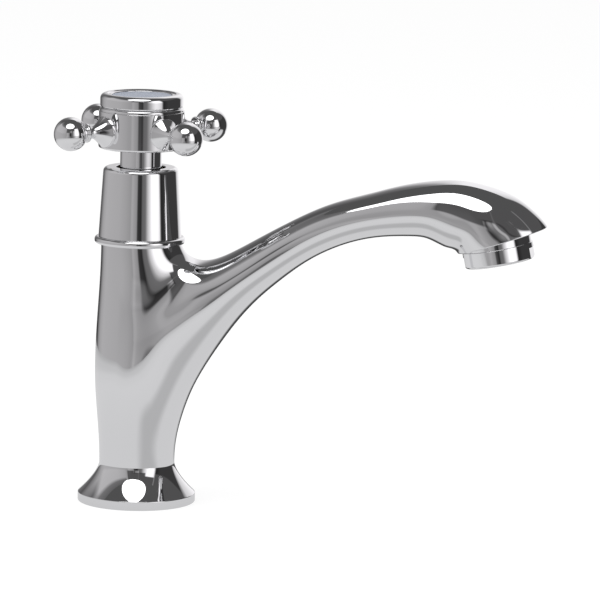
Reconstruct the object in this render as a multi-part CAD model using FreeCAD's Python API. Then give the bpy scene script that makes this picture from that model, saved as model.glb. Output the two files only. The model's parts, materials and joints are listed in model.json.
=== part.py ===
import FreeCAD, Part
import math
import os

from FreeCAD import Vector

# Cross handle basin tap: a chromed brass pillar with an integral arched spout,
# closed by a quarter-turn ceramic disc headwork under a four-armed handle.
#
# Units are millimetres.  +Z is up and +X points along the spout.  The origin is
# the centre of the base underside, on the axis of the pillar and of the handle.
# Each function below makes one piece, and the last lines write one STEP file
# for each piece.

# ---------------------------------------------------------------------------
# Driving dimensions
# ---------------------------------------------------------------------------

# Fits, each the radial or axial gap between two faces.
running_gap = 0.05          # between faces that turn against each other
screw_gap = 0.05            # between a male and a female thread, drawn plain
push_gap = 0.02             # between pieces that are pushed together
lift_gap = 0.3              # between a turning piece and a still one that it passes
screw_play = 0.3            # round the shank of the handle screw
ring_play = 0.2             # room beside an O-ring in its groove, at each side

# Work allowances of the construction itself.
cut_past = 1.0              # a cutting tool runs this far past the face it opens
edge_tolerance = 0.02       # how near an edge must lie to be the one looked for

# Pillar and base flange.
base_radius = 22.5
base_rim_height = 3.4
base_edge_round = 0.5
flare_height = 15.0         # where the concave flare meets the neck
flare_power = 1.45          # how quickly the flare draws in
neck_radius = 14.4
belly_radius = 16.5
belly_height = 52.0
pillar_top_radius = 14.7
pillar_height = 99.8

# Inlet in the underside of the base.
inlet_thread_radius = 9.32  # minor radius of a G1/2 female thread
inlet_thread_length = 14.0
inlet_mouth_chamfer = 1.0
inlet_cavity_radius = 10.0  # cored room above the thread
inlet_runout = 1.0          # cone between the thread and the cored room
seal_groove_inset = 3.9     # from the base's edge to the middle of the seal's groove
seal_groove_width = 3.0
seal_groove_depth = 2.0

# Headwork: its seat, barrel, flange and hexagon.
headwork_depth = 29.8       # from the pillar's top rim down to the valve seat
seat_hole_radius = 6.0
seat_web_thickness = 4.0
seat_seal_height = 2.6
seat_seal_radius = 8.0
seat_seal_bore_radius = 6.4
headwork_thread_radius = 10.42
headwork_foot_gap = 0.6     # between the barrel's foot and the seat
chamber_radius = 12.0       # water chamber cored round the headwork's windows
chamber_height = 12.0
chamber_above_seat = 4.0
gasket_thickness = 1.0
gasket_width = 1.9
headwork_flange_radius = 12.7
headwork_flange_height = 2.0
hexagon_across_flats = 19.0
hexagon_height = 7.0
shroud_thread_radius = 9.8
shroud_thread_length = 8.6
disc_bore_radius = 8.6
disc_fixed_height = 3.2
disc_moving_height = 3.5
disc_radius = 8.45
disc_port_inner = 2.2
disc_port_outer = 6.4
disc_port_angle = 80.0      # each of the two openings through a disc
disc_key_width = 3.0
disc_key_depth = 1.2        # how far the fixed disc's keys reach into the barrel
disc_port_rim = 0.5         # between a port and the root of a key
window_width = 9.0
window_height = 6.0
window_rise = 0.4           # the windows' sill above the moving disc's underside

# Spindle.
spindle_radius = 5.5
spindle_foot_radius = 8.2
spindle_foot_height = 3.0
drive_tang_width = 3.2
drive_tang_length = 13.0
drive_tang_depth = 1.6
thrust_washer_height = 0.8
stem_ring_section = 1.7     # section diameter of each O-ring on the spindle
stem_ring_squeeze = 0.15
stem_ring_spacing = 4.0
stem_ring_height = 98.0
circlip_thickness = 1.0
circlip_groove_radius = 4.7
circlip_outer_radius = 7.2
circlip_gap_angle = 40.0
spline_teeth = 20
spline_radius = 3.95
spline_tooth_depth = 0.45
spline_rise = 1.4           # from the circlip to the nominal foot of the spline
stem_end_drop = 0.8         # the plain stem ends this far below it
bush_foot_drop = 0.6        # and the bush's foot this far below it
screw_hole_radius = 2.1
screw_hole_depth = 10.0

# Collar ring and shroud over the headwork.
collar_radius = 17.3
collar_height = 2.6
collar_bore_radius = 13.3
collar_round_share = 0.45   # edge round as a share of the collar's height
shroud_foot_radius = 15.8
shroud_top_radius = 14.2
shroud_height = 26.6
shroud_wall = 1.9
shroud_edge_round = 1.7
shroud_mouth_radius = 9.4
shroud_web_height = 4.0     # inner web that screws on to the headwork
shroud_web_rise = 1.5       # the web's foot above the hexagon

# Handle: neck bush, hub, arms and cap.
bush_neck_radius = 7.9
bush_spigot_radius = 6.5
bush_spigot_height = 4.7
bush_web_height = 4.0       # closed end that the handle screw pulls on
neck_showing = 7.3          # from the shroud's top to the hub's underside
hub_radius = 16.3
hub_height = 14.2
hub_edge_round = 0.9
hub_floor = 4.7             # thickness under the hub's pocket
hub_pocket_radius = 11.8
hub_lip_radius = 16.0
hub_lip_height = 1.5
arm_height_above_hub = 6.9  # arm axis above the hub's underside
arm_count = 4
arm_first_angle = 45.0      # from the spout's direction, with the tap closed
ball_radius = 6.4
ball_centre_radius = 31.4
arm_collar_radius = 3.6
arm_collar_width = 1.3
arm_collar_centre = 24.6
arm_neck_radius = 2.8
arm_waist_radius = 2.1
arm_waist_centre = 22.6
arm_bell_radius = 5.9
arm_bell_rim = 0.9
arm_bell_power = 1.7
arm_stud_radius = 2.5
arm_stud_length = 3.4
cap_radius = 15.8
cap_height = 5.1
cap_edge_round = 2.0
cap_recess_radius = 11.4
cap_recess_depth = 2.0
cap_spigot_height = 4.0
cap_spigot_wall = 2.8
cap_floor = 1.5
cap_ring_section = 1.6
cap_ring_squeeze = 0.1
index_disc_height = 1.3
screw_head_radius = 4.4
screw_head_height = 3.0
screw_shank_radius = 1.95
screw_shank_length = 12.0
screw_socket_across_flats = 4.0
screw_socket_depth = 1.8
screw_washer_radius = 7.2
screw_washer_height = 0.9

# Spout: its outline fills a frame that is outlet_reach long, from the height
# spout_foot_drop below the pillar's top to spout_rise above it.
outlet_reach = 139.0        # pillar axis to the centre of the outlet
outlet_drop = 1.0           # outlet centre below the pillar's top
outlet_tilt = 11.45         # the jet leans this far outwards, in degrees
spout_foot_drop = 71.5
spout_rise = 28.1
spout_wall = 2.0
saddle_round = 5.0          # cast fillet where the spout leaves the pillar
beak_margin = 0.53          # the beak's sides stand this far outside the aerator

# Aerator in the end of the spout.
aerator_radius = 13.47
aerator_height = 6.2
aerator_edge_round = 1.0
aerator_thread_radius = 12.0
aerator_thread_length = 6.0
aerator_bore_radius = 10.6
aerator_lip_radius = 9.5
aerator_lip_height = 1.2
aerator_flat_distance = 12.6
aerator_flat_height = 4.2
aerator_washer_height = 1.6
aerator_washer_width = 3.7
boss_radius = 12.95
cartridge_radius = 10.5
cartridge_wall = 1.1
cartridge_plate_height = 1.2
cartridge_jet_radius = 0.9
cartridge_jet_count = 12
cartridge_jet_share = 0.72  # circle of the jets as a share of the cup's bore
cartridge_ledge_height = 0.8
cartridge_ledge_width = 0.6
diffuser_height = 1.2
diffuser_slot_width = 0.8
diffuser_slot_pitch = 2.6
diffuser_slot_count = 5
diffuser_rise = 2.6         # from the mesh's top to the diffuser's underside
mesh_height = 0.8
mesh_hole_radius = 0.85
mesh_hole_pitch = 2.6
grating_rim = 1.0           # plain rim round the holes of the diffuser and mesh

# ---------------------------------------------------------------------------
# Levels and places that follow from the dimensions above
# ---------------------------------------------------------------------------

seat_level = pillar_height - headwork_depth
barrel_foot_level = seat_level + headwork_foot_gap
disc_fixed_level = seat_level + seat_seal_height
disc_moving_level = disc_fixed_level + disc_fixed_height + running_gap
foot_level = disc_moving_level + disc_moving_height + running_gap
thrust_level = foot_level + spindle_foot_height + running_gap
shoulder_level = thrust_level + thrust_washer_height + running_gap
flange_level = pillar_height + gasket_thickness
hexagon_level = flange_level + headwork_flange_height
shroud_thread_level = hexagon_level + hexagon_height
headwork_top = shroud_thread_level + shroud_thread_length
circlip_level = headwork_top + running_gap
spline_level = circlip_level + circlip_thickness + spline_rise

shroud_level = pillar_height + collar_height
shroud_top = shroud_level + shroud_height
hub_level = shroud_top + neck_showing
hub_top = hub_level + hub_height
cap_level = hub_top + hub_lip_height
cap_top = cap_level + cap_height
arm_level = hub_level + arm_height_above_hub
pocket_level = hub_level + hub_floor
bush_foot_level = spline_level - bush_foot_drop
bush_top = hub_level + bush_spigot_height
spindle_top = bush_top - bush_web_height - lift_gap

stem_end_level = spline_level - stem_end_drop
stem_bore_radius = spindle_radius + running_gap
thrust_washer_radius = disc_bore_radius - running_gap
headwork_bore_radius = headwork_thread_radius + screw_gap
spout_foot_level = pillar_height - spout_foot_drop
spout_crown_level = pillar_height + spout_rise
outlet_level = pillar_height - outlet_drop
seal_groove_radius = base_radius - seal_groove_inset
beak_width = 2 * (aerator_radius + beak_margin)

tilt = math.radians(outlet_tilt)
jet_direction = Vector(math.sin(tilt), 0, -math.cos(tilt))
across_direction = Vector(math.cos(tilt), 0, math.sin(tilt))
outlet_centre = Vector(outlet_reach, 0, outlet_level)
joint_centre = outlet_centre - jet_direction * aerator_height


# ---------------------------------------------------------------------------
# Helpers
# ---------------------------------------------------------------------------

def turned(outline):
    """Solid made by turning a closed outline of (radius, height) about Z."""
    points = [Vector(radius, 0, height) for radius, height in outline]
    face = Part.Face(Part.makePolygon(points + points[:1]))
    return face.revolve(Vector(0, 0, 0), Vector(0, 0, 1), 360)


def cylinder(radius, low, high):
    """Upright cylinder on the Z axis between two heights."""
    return Part.makeCylinder(radius, high - low, Vector(0, 0, low))


def ring(inner, outer, low, high):
    """Upright ring on the Z axis between two heights."""
    return cylinder(outer, low, high).cut(cylinder(inner, low, high))


def box(x_size, y_size, low, high):
    """Upright block centred on the Z axis between two heights."""
    corner = Vector(-x_size / 2, -y_size / 2, low)
    return Part.makeBox(x_size, y_size, high - low, corner)


def circle_edges(shape, radius, height):
    """Round edges of a solid with this radius at this height."""
    found = []
    for edge in shape.Edges:
        curve = edge.Curve
        if not isinstance(curve, Part.Circle):
            continue
        near_radius = abs(curve.Radius - radius) < edge_tolerance
        near_height = abs(curve.Center.z - height) < edge_tolerance
        if near_radius and near_height:
            found.append(edge)
    return found


def rounded(shape, radius, height, size):
    """Solid with its round edge at this radius and height rounded off."""
    return shape.makeFillet(size, circle_edges(shape, radius, height))


def hexagon_prism(across_flats, low, high):
    """Upright hexagonal prism on the Z axis."""
    corner = across_flats / 2 / math.cos(math.radians(30))
    points = []
    for step in range(7):
        angle = math.radians(60 * step)
        points.append(Vector(corner * math.cos(angle), corner * math.sin(angle), low))
    face = Part.Face(Part.makePolygon(points))
    return face.extrude(Vector(0, 0, high - low))


def turned_copy(shape, angle):
    """Copy of a shape turned about the Z axis by an angle in degrees."""
    copy = shape.copy()
    copy.rotate(Vector(0, 0, 0), Vector(0, 0, 1), angle)
    return copy


def on_outlet(shape):
    """Shape drawn about Z, with its zero at the joint, moved on to the outlet.

    Heights below zero lie on the jet's side of the joint.
    """
    copy = shape.copy()
    copy.rotate(Vector(0, 0, 0), Vector(0, 1, 0), -outlet_tilt)
    copy.translate(joint_centre)
    return copy


def sector(inner, outer, angle, low, high):
    """Part of a ring, centred on +X, that spans an angle in degrees."""
    wedge = Part.makeCylinder(outer, high - low, Vector(0, 0, low), Vector(0, 0, 1), angle)
    wedge = turned_copy(wedge, -angle / 2)
    return wedge.cut(cylinder(inner, low, high))


# ---------------------------------------------------------------------------
# Body casting
# ---------------------------------------------------------------------------

def pillar_radius(height):
    """Outside radius of the pillar at a height above the base rim."""
    if height < flare_height:
        share = (height - base_rim_height) / (flare_height - base_rim_height)
        return neck_radius + (base_radius - neck_radius) * (1 - share) ** flare_power
    if height < belly_height:
        swell = (height - flare_height) / (belly_height - flare_height)
        return neck_radius + (belly_radius - neck_radius) * (1 - math.cos(math.pi * swell)) / 2
    draw = (height - belly_height) / (pillar_height - belly_height)
    return belly_radius - (belly_radius - pillar_top_radius) * (1 - math.cos(math.pi * draw)) / 2


def pillar_solid():
    """Pillar with its flared base, before anything is cored out of it."""
    flare_steps = 10
    shaft_steps = 10
    heights = []
    for step in range(flare_steps):
        heights.append(base_rim_height + (flare_height - base_rim_height) * step / flare_steps)
    for step in range(shaft_steps + 1):
        heights.append(flare_height + (pillar_height - flare_height) * step / shaft_steps)
    side = Part.BSplineCurve()
    side.interpolate([Vector(pillar_radius(height), 0, height) for height in heights])
    axis_top = Vector(0, 0, pillar_height)
    edge_top = Vector(pillar_top_radius, 0, pillar_height)
    rim_top = Vector(base_radius, 0, base_rim_height)
    rim_foot = Vector(base_radius, 0, 0)
    origin = Vector(0, 0, 0)
    edges = [
        Part.LineSegment(origin, rim_foot).toShape(),
        Part.LineSegment(rim_foot, rim_top).toShape(),
        side.toShape(),
        Part.LineSegment(edge_top, axis_top).toShape(),
        Part.LineSegment(axis_top, origin).toShape(),
    ]
    face = Part.Face(Part.Wire(edges))
    solid = face.revolve(Vector(0, 0, 0), Vector(0, 0, 1), 360)
    solid = rounded(solid, base_radius, 0, base_edge_round)
    return turned_copy(solid, 180)


def frame_point(x_share, z_share, reach):
    """Point of the spout's frame, from its shares of a reach and of the rise."""
    height = spout_foot_level + z_share * (spout_crown_level - spout_foot_level)
    return Vector(x_share * reach, 0, height)


# Each station is (top x, top z, bottom x, bottom z, width, egg).  The points are
# shares of the spout's frame, the width is a share of the beak's width, and egg
# draws the section in towards its top, as the beak's plan does.  At the root, in
# the pillar, x is a share of the neck's radius instead of the outlet's reach.
spout_root = [
    (-0.286, 0.600, 0.895, -0.063, 0.857, 0.0),
    (0.210, 0.618, 1.409, 0.140, 0.893, 0.0),
]
spout_stations = [
    (0.086, 0.634, 0.185, 0.246, 0.893, 0.0),
    (0.140, 0.646, 0.229, 0.342, 0.871, 0.0),
    (0.190, 0.658, 0.279, 0.438, 0.807, 0.0),
    (0.321, 0.748, 0.392, 0.596, 0.661, 0.0),
    (0.423, 0.829, 0.477, 0.685, 0.607, 0.0),
    (0.537, 0.904, 0.578, 0.753, 0.625, 0.0),
    (0.647, 0.952, 0.673, 0.785, 0.679, 0.0),
    (0.745, 0.990, 0.755, 0.793, 0.757, 0.02),
    (0.848, 1.011, 0.806, 0.785, 0.843, 0.05),
    (0.935, 1.003, 0.853, 0.758, 0.907, 0.09),
    (1.021, 0.968, 0.883, 0.741, 0.971, 0.10),
    (1.079, 0.918, 0.912, 0.684, 1.000, 0.10),
    (1.130, 0.842, 0.970, 0.687, 0.929, 0.10),
    (1.149, 0.780, 1.020, 0.686, 0.714, 0.10),
]
end_face_slope = 18.6       # rise of the spout's end face towards its tip, in degrees
end_face_margin = 0.15      # the end face starts this far outside the aerator's rim

# The waterway has stations of its own at both ends, and follows the outside,
# one wall further in, at the stations between them.
waterway_start = [
    (0.030, 0.560, 0.030, 0.500, 0.321, 0.0),
    (0.110, 0.580, 0.125, 0.500, 0.375, 0.0),
    (0.190, 0.625, 0.225, 0.515, 0.446, 0.0),
]
waterway_follows = slice(3, 10)
waterway_end = (1.010, 0.947, 0.878, 0.796, 0.786, 0.10)
waterway_drop_radius = 10.4
waterway_drop_length = 4.0  # upright stretch above the aerator's socket


def section(top, bottom, width, egg):
    """Closed smooth section between two points of the XZ plane."""
    points = []
    count = 12
    middle = (top + bottom) * 0.5
    half = (top - bottom) * 0.5
    for step in range(count):
        angle = 2 * math.pi * step / count
        side = width / 2 * math.sin(angle) * (1 - egg * math.cos(angle))
        points.append(middle + half * math.cos(angle) + Vector(0, side, 0))
    curve = Part.BSplineCurve()
    curve.interpolate(points, True)
    return Part.Wire(curve.toShape())


def station_section(station, wall, reach=outlet_reach):
    """Section at a station, drawn in by a wall all round."""
    top_x, top_z, low_x, low_z, width, egg = station
    top = frame_point(top_x, top_z, reach)
    bottom = frame_point(low_x, low_z, reach)
    inset = (top - bottom).normalize() * wall
    return section(top - inset, bottom + inset, width * beak_width - 2 * wall, egg)


def below_end_face():
    """Block that fills the space under the spout's sloping end face."""
    corner = joint_centre - across_direction * (aerator_radius + end_face_margin)
    size = outlet_reach / 2
    block = Part.makeBox(2 * size, 2 * size, size, Vector(-size / 4, -size, -size))
    block.rotate(Vector(0, 0, 0), Vector(0, 1, 0), -end_face_slope)
    block.translate(corner)
    return block


def spout_solid():
    """Spout from inside the pillar to its sloping end face."""
    wires = [station_section(station, 0, neck_radius) for station in spout_root]
    wires += [station_section(station, 0) for station in spout_stations]
    return Part.makeLoft(wires, True, False).cut(below_end_face())


def waterway_solid():
    """Cored passage from the valve chamber to the aerator's socket."""
    wires = [station_section(station, 0) for station in waterway_start]
    for station in spout_stations[waterway_follows]:
        wires.append(station_section(station, spout_wall))
    wires.append(station_section(waterway_end, 0))
    shoulder = aerator_thread_length + aerator_washer_height
    drop = cylinder(waterway_drop_radius, shoulder - cut_past, shoulder + waterway_drop_length)
    return Part.makeLoft(wires, True, False).fuse(on_outlet(drop))


def joining_edges(shape):
    """Edges where the spout's skin meets the pillar's."""
    found = []
    for edge in shape.Edges:
        extent = edge.BoundBox
        is_freeform = isinstance(edge.Curve, Part.BSplineCurve)
        if is_freeform and extent.XMin > 0 and extent.XMax < base_radius:
            found.append(edge)
    return found


def body_casting():
    """Chromed pillar and spout, cored for water and bored for its fittings."""
    body = pillar_solid().fuse(spout_solid())
    body = body.makeFillet(saddle_round, joining_edges(body))
    boss = on_outlet(cylinder(boss_radius, 0, aerator_thread_length))
    body = body.fuse(boss).removeSplitter()

    cavity_roof = seat_level - seat_web_thickness
    cone_height = inlet_cavity_radius - seat_hole_radius
    inlet = turned([
        (0, -cut_past),
        (inlet_thread_radius + inlet_mouth_chamfer, -cut_past),
        (inlet_thread_radius + inlet_mouth_chamfer, 0),
        (inlet_thread_radius, inlet_mouth_chamfer),
        (inlet_thread_radius, inlet_mouth_chamfer + inlet_thread_length),
        (inlet_cavity_radius, inlet_mouth_chamfer + inlet_thread_length + inlet_runout),
        (inlet_cavity_radius, cavity_roof - cone_height),
        (seat_hole_radius, cavity_roof),
        (seat_hole_radius, seat_level),
        (headwork_bore_radius, seat_level),
        (headwork_bore_radius, seat_level + chamber_above_seat),
        (chamber_radius, seat_level + chamber_above_seat),
        (chamber_radius, seat_level + chamber_above_seat + chamber_height),
        (headwork_bore_radius, seat_level + chamber_above_seat + chamber_height),
        (headwork_bore_radius, pillar_height + cut_past),
        (0, pillar_height + cut_past),
    ])
    groove = ring(
        seal_groove_radius - seal_groove_width / 2,
        seal_groove_radius + seal_groove_width / 2,
        -cut_past,
        seal_groove_depth,
    )
    socket_depth = aerator_thread_length + aerator_washer_height
    socket = on_outlet(cylinder(aerator_thread_radius + screw_gap, -cut_past, socket_depth))
    for tool in (inlet, groove, socket, waterway_solid()):
        body = body.cut(tool)
    return body


def base_seal_ring():
    """Rubber ring in the base groove, flush with the underside."""
    inner = seal_groove_radius - seal_groove_width / 2 + push_gap
    outer = seal_groove_radius + seal_groove_width / 2 - push_gap
    return ring(inner, outer, 0, seal_groove_depth)


# ---------------------------------------------------------------------------
# Collar, shroud and headwork
# ---------------------------------------------------------------------------

def collar_ring():
    """Half-round ring between the pillar and the shroud."""
    solid = ring(collar_bore_radius, collar_radius, pillar_height, shroud_level)
    edges = circle_edges(solid, collar_radius, pillar_height)
    edges += circle_edges(solid, collar_radius, shroud_level)
    return solid.makeFillet(collar_height * collar_round_share, edges)


def bonnet_shroud():
    """Tapered cover over the headwork, screwed down by its inner web."""
    web_foot = shroud_thread_level + shroud_web_rise
    web_top = web_foot + shroud_web_height
    roof = shroud_top - shroud_wall
    solid = turned([
        (shroud_foot_radius - shroud_wall, shroud_level),
        (shroud_foot_radius, shroud_level),
        (shroud_top_radius, shroud_top),
        (shroud_mouth_radius, shroud_top),
        (shroud_mouth_radius, roof),
        (shroud_top_radius - shroud_wall, roof),
        (shroud_top_radius - shroud_wall, web_top),
        (shroud_thread_radius + screw_gap, web_top),
        (shroud_thread_radius + screw_gap, web_foot),
        (shroud_foot_radius - shroud_wall, web_foot),
    ])
    return rounded(solid, shroud_top_radius, shroud_top, shroud_edge_round)


def headwork_housing():
    """Brass barrel that holds the discs and the spindle."""
    outside = turned([
        (0, barrel_foot_level),
        (headwork_thread_radius, barrel_foot_level),
        (headwork_thread_radius, flange_level),
        (headwork_flange_radius, flange_level),
        (headwork_flange_radius, hexagon_level),
        (shroud_thread_radius, hexagon_level),
        (shroud_thread_radius, headwork_top),
        (0, headwork_top),
    ])
    solid = outside.fuse(hexagon_prism(hexagon_across_flats, hexagon_level, shroud_thread_level))
    solid = solid.cut(cylinder(disc_bore_radius, barrel_foot_level, shoulder_level))
    solid = solid.cut(cylinder(stem_bore_radius, shoulder_level, headwork_top))
    reach = 2 * (headwork_thread_radius + cut_past)
    window_foot = disc_moving_level + window_rise
    solid = solid.cut(box(reach, window_width, window_foot, window_foot + window_height))
    key_top = disc_fixed_level + disc_fixed_height
    keyway = box(disc_key_width + 2 * push_gap, disc_key_reach(push_gap), barrel_foot_level, key_top)
    return solid.cut(keyway)


def disc_key_reach(extra):
    """Overall length across the fixed disc's two keys, with extra at each end."""
    return 2 * (disc_bore_radius + disc_key_depth + extra)


def headwork_gasket():
    """Fibre gasket between the pillar's top and the headwork's flange."""
    inner = headwork_bore_radius + push_gap
    return ring(inner, inner + gasket_width, pillar_height, flange_level)


def disc(low, high):
    """Ceramic disc with two ports on opposite sides."""
    solid = cylinder(disc_radius, low, high)
    for angle in (0, 180):
        port = sector(disc_port_inner, disc_port_outer, disc_port_angle, low, high)
        solid = solid.cut(turned_copy(port, angle))
    return solid


def ceramic_disc_fixed():
    """Lower disc, held from turning by two keys in the barrel."""
    low = disc_fixed_level
    high = disc_fixed_level + disc_fixed_height
    keys = box(disc_key_width, disc_key_reach(0), low, high)
    keys = keys.cut(cylinder(disc_port_outer + disc_port_rim, low, high))
    return turned_copy(disc(low, high), 90).fuse(keys).removeSplitter()


def ceramic_disc_moving():
    """Upper disc, turned by the spindle's tang over the fixed disc's ports."""
    high = disc_moving_level + disc_moving_height
    solid = disc(disc_moving_level, high)
    slot_low = high - drive_tang_depth - running_gap
    slot = box(
        drive_tang_width + 2 * push_gap,
        drive_tang_length + 2 * push_gap,
        slot_low,
        high,
    )
    return solid.cut(slot)


def seat_seal():
    """Rubber ring that seals the fixed disc to the valve seat."""
    return ring(seat_seal_bore_radius, seat_seal_radius, seat_level, disc_fixed_level)


def thrust_washer():
    """Slippery washer between the spindle's foot and the barrel's shoulder."""
    high = thrust_level + thrust_washer_height
    return ring(stem_bore_radius, thrust_washer_radius, thrust_level, high)


def stem_ring_levels():
    """Heights of the two O-rings on the spindle."""
    return (stem_ring_height, stem_ring_height + stem_ring_spacing)


def spindle():
    """Spindle with drive tang, ring grooves, circlip groove and spline."""
    tang = box(
        drive_tang_width,
        drive_tang_length,
        foot_level - drive_tang_depth - running_gap,
        foot_level + spindle_foot_height,
    )
    foot = cylinder(spindle_foot_radius, foot_level, foot_level + spindle_foot_height)
    stem = cylinder(spindle_radius, foot_level, stem_end_level)
    solid = foot.fuse(stem).fuse(tang).fuse(spline_prism(0, stem_end_level, spindle_top))
    groove_floor = stem_bore_radius - running_gap - stem_ring_section + stem_ring_squeeze
    half_groove = stem_ring_section / 2 + ring_play
    stem_outside = spindle_radius + cut_past
    for level in stem_ring_levels():
        groove = ring(groove_floor, stem_outside, level - half_groove, level + half_groove)
        solid = solid.cut(groove)
    clip_top = circlip_level + circlip_thickness
    solid = solid.cut(ring(circlip_groove_radius, stem_outside, circlip_level, clip_top))
    hole_foot = spindle_top - screw_hole_depth
    solid = solid.cut(cylinder(screw_hole_radius, hole_foot, spindle_top + cut_past))
    return solid.removeSplitter()


def spline_prism(extra, low, high):
    """Toothed bar of the spindle's end, grown outwards by extra."""
    points = []
    root = spline_radius - spline_tooth_depth + extra
    crest = spline_radius + extra
    for tooth in range(spline_teeth):
        for share, radius in ((0.0, root), (0.25, root), (0.5, crest), (0.75, crest)):
            angle = 2 * math.pi * (tooth + share) / spline_teeth
            points.append(Vector(radius * math.cos(angle), radius * math.sin(angle), low))
    face = Part.Face(Part.makePolygon(points + points[:1]))
    return face.extrude(Vector(0, 0, high - low))


def spindle_o_rings():
    """Two O-rings that seal the spindle in the barrel."""
    section_radius = (stem_ring_section - stem_ring_squeeze) / 2
    mean_radius = stem_bore_radius - running_gap - section_radius
    rings = []
    for level in stem_ring_levels():
        rings.append(Part.makeTorus(mean_radius, section_radius, Vector(0, 0, level)))
    return Part.makeCompound(rings)


def circlip():
    """Open spring ring that keeps the spindle from dropping."""
    high = circlip_level + circlip_thickness
    inner = circlip_groove_radius + push_gap
    solid = ring(inner, circlip_outer_radius, circlip_level, high)
    gap_outer = circlip_outer_radius + cut_past
    gap = sector(circlip_groove_radius / 2, gap_outer, circlip_gap_angle, circlip_level, high)
    return solid.cut(gap)


# ---------------------------------------------------------------------------
# Handle
# ---------------------------------------------------------------------------

def handle_bush():
    """Neck of the handle, splined inside and held in the hub by its spigot."""
    solid = turned([
        (0, bush_foot_level),
        (bush_neck_radius, bush_foot_level),
        (bush_neck_radius, hub_level),
        (bush_spigot_radius, hub_level),
        (bush_spigot_radius, bush_top),
        (0, bush_top),
    ])
    socket_top = bush_top - bush_web_height
    solid = solid.cut(spline_prism(push_gap, bush_foot_level, socket_top))
    return solid.cut(cylinder(screw_shank_radius + screw_play, bush_foot_level, bush_top))


def handle_hub():
    """Round hub that carries the arms and the cap."""
    solid = turned([
        (bush_spigot_radius + push_gap, hub_level),
        (hub_radius, hub_level),
        (hub_radius, hub_top),
        (hub_lip_radius, hub_top),
        (hub_lip_radius, cap_level),
        (hub_pocket_radius, cap_level),
        (hub_pocket_radius, pocket_level),
        (bush_spigot_radius + push_gap, pocket_level),
    ])
    solid = rounded(solid, hub_radius, hub_level, hub_edge_round)
    hole = Part.makeCylinder(
        arm_stud_radius + screw_gap,
        hub_radius,
        Vector(hub_pocket_radius - cut_past, 0, arm_level),
        Vector(1, 0, 0),
    )
    for index in range(arm_count):
        solid = solid.cut(turned_copy(hole, arm_angle(index)))
    return solid


def arm_angle(index):
    """Angle of an arm from the spout's direction, in degrees."""
    return arm_first_angle + 360 * index / arm_count


def arm_bell_end():
    """Distance from the axis to where the bell's rim begins to narrow."""
    return hub_radius + arm_bell_rim


def cross_arm(index):
    """Turned arm with its bell foot, waist, collar and ball."""
    bell_steps = 6
    bell = Part.BSplineCurve()
    bell_points = []
    for step in range(bell_steps + 1):
        share = step / bell_steps
        place = arm_bell_end() + share * (arm_waist_centre - arm_bell_end())
        radius = arm_waist_radius
        radius += (arm_bell_radius - arm_waist_radius) * (1 - share) ** arm_bell_power
        bell_points.append(Vector(place, 0, radius))
    bell.interpolate(bell_points)
    collar_low = arm_collar_centre - arm_collar_width / 2
    collar_high = arm_collar_centre + arm_collar_width / 2
    ball_meet = ball_centre_radius - math.sqrt(ball_radius ** 2 - arm_neck_radius ** 2)
    ball_end = ball_centre_radius + ball_radius
    corners = [
        Vector(arm_waist_centre, 0, arm_waist_radius),
        Vector(collar_low, 0, arm_waist_radius),
        Vector(collar_low, 0, arm_collar_radius),
        Vector(collar_high, 0, arm_collar_radius),
        Vector(collar_high, 0, arm_neck_radius),
        Vector(ball_meet, 0, arm_neck_radius),
    ]
    ball = Part.Arc(
        Vector(ball_meet, 0, arm_neck_radius),
        Vector(ball_centre_radius, 0, ball_radius),
        Vector(ball_end, 0, 0),
    )
    edges = [
        Part.LineSegment(Vector(0, 0, 0), Vector(0, 0, arm_bell_radius)).toShape(),
        Part.LineSegment(Vector(0, 0, arm_bell_radius), bell_points[0]).toShape(),
        bell.toShape(),
    ]
    for first, second in zip(corners[:-1], corners[1:]):
        edges.append(Part.LineSegment(first, second).toShape())
    edges.append(ball.toShape())
    edges.append(Part.LineSegment(Vector(ball_end, 0, 0), Vector(0, 0, 0)).toShape())
    face = Part.Face(Part.Wire(edges))
    solid = face.revolve(Vector(0, 0, 0), Vector(1, 0, 0), 360)
    solid = solid.cut(cylinder(hub_radius, -hub_height, hub_height))
    stud = Part.makeCylinder(
        arm_stud_radius,
        arm_stud_length + cut_past,
        Vector(hub_radius - arm_stud_length, 0, 0),
        Vector(1, 0, 0),
    )
    solid = solid.fuse(stud).removeSplitter()
    solid.translate(Vector(0, 0, arm_level))
    return turned_copy(solid, arm_angle(index))


def index_cap():
    """Round cap that is pushed into the hub's pocket and frames the disc."""
    spigot_radius = hub_pocket_radius - push_gap
    spigot_foot = cap_level - cap_spigot_height
    recess_floor = cap_top - cap_recess_depth
    solid = turned([
        (0, spigot_foot),
        (spigot_radius, spigot_foot),
        (spigot_radius, cap_level),
        (cap_radius, cap_level),
        (cap_radius, cap_top),
        (cap_recess_radius, cap_top),
        (cap_recess_radius, recess_floor),
        (0, recess_floor),
    ])
    solid = rounded(solid, cap_radius, cap_top, cap_edge_round)
    hollow_radius = spigot_radius - cap_spigot_wall
    solid = solid.cut(cylinder(hollow_radius, spigot_foot, recess_floor - cap_floor))
    middle = cap_ring_level()
    half_groove = cap_ring_section / 2 + ring_play
    groove_floor = hub_pocket_radius - cap_ring_section + cap_ring_squeeze
    groove_outer = spigot_radius + cut_past
    groove = ring(groove_floor, groove_outer, middle - half_groove, middle + half_groove)
    return solid.cut(groove)


def cap_ring_level():
    """Height of the middle of the cap's ring."""
    return cap_level - cap_spigot_height / 2


def index_cap_o_ring():
    """Rubber ring that holds the cap in the hub's pocket."""
    section_radius = (cap_ring_section - cap_ring_squeeze) / 2
    mean_radius = hub_pocket_radius - section_radius
    return Part.makeTorus(mean_radius, section_radius, Vector(0, 0, cap_ring_level()))


def index_disc():
    """Plain coloured disc in the cap's recess."""
    low = cap_top - cap_recess_depth
    return cylinder(cap_recess_radius - push_gap, low, low + index_disc_height)


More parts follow.
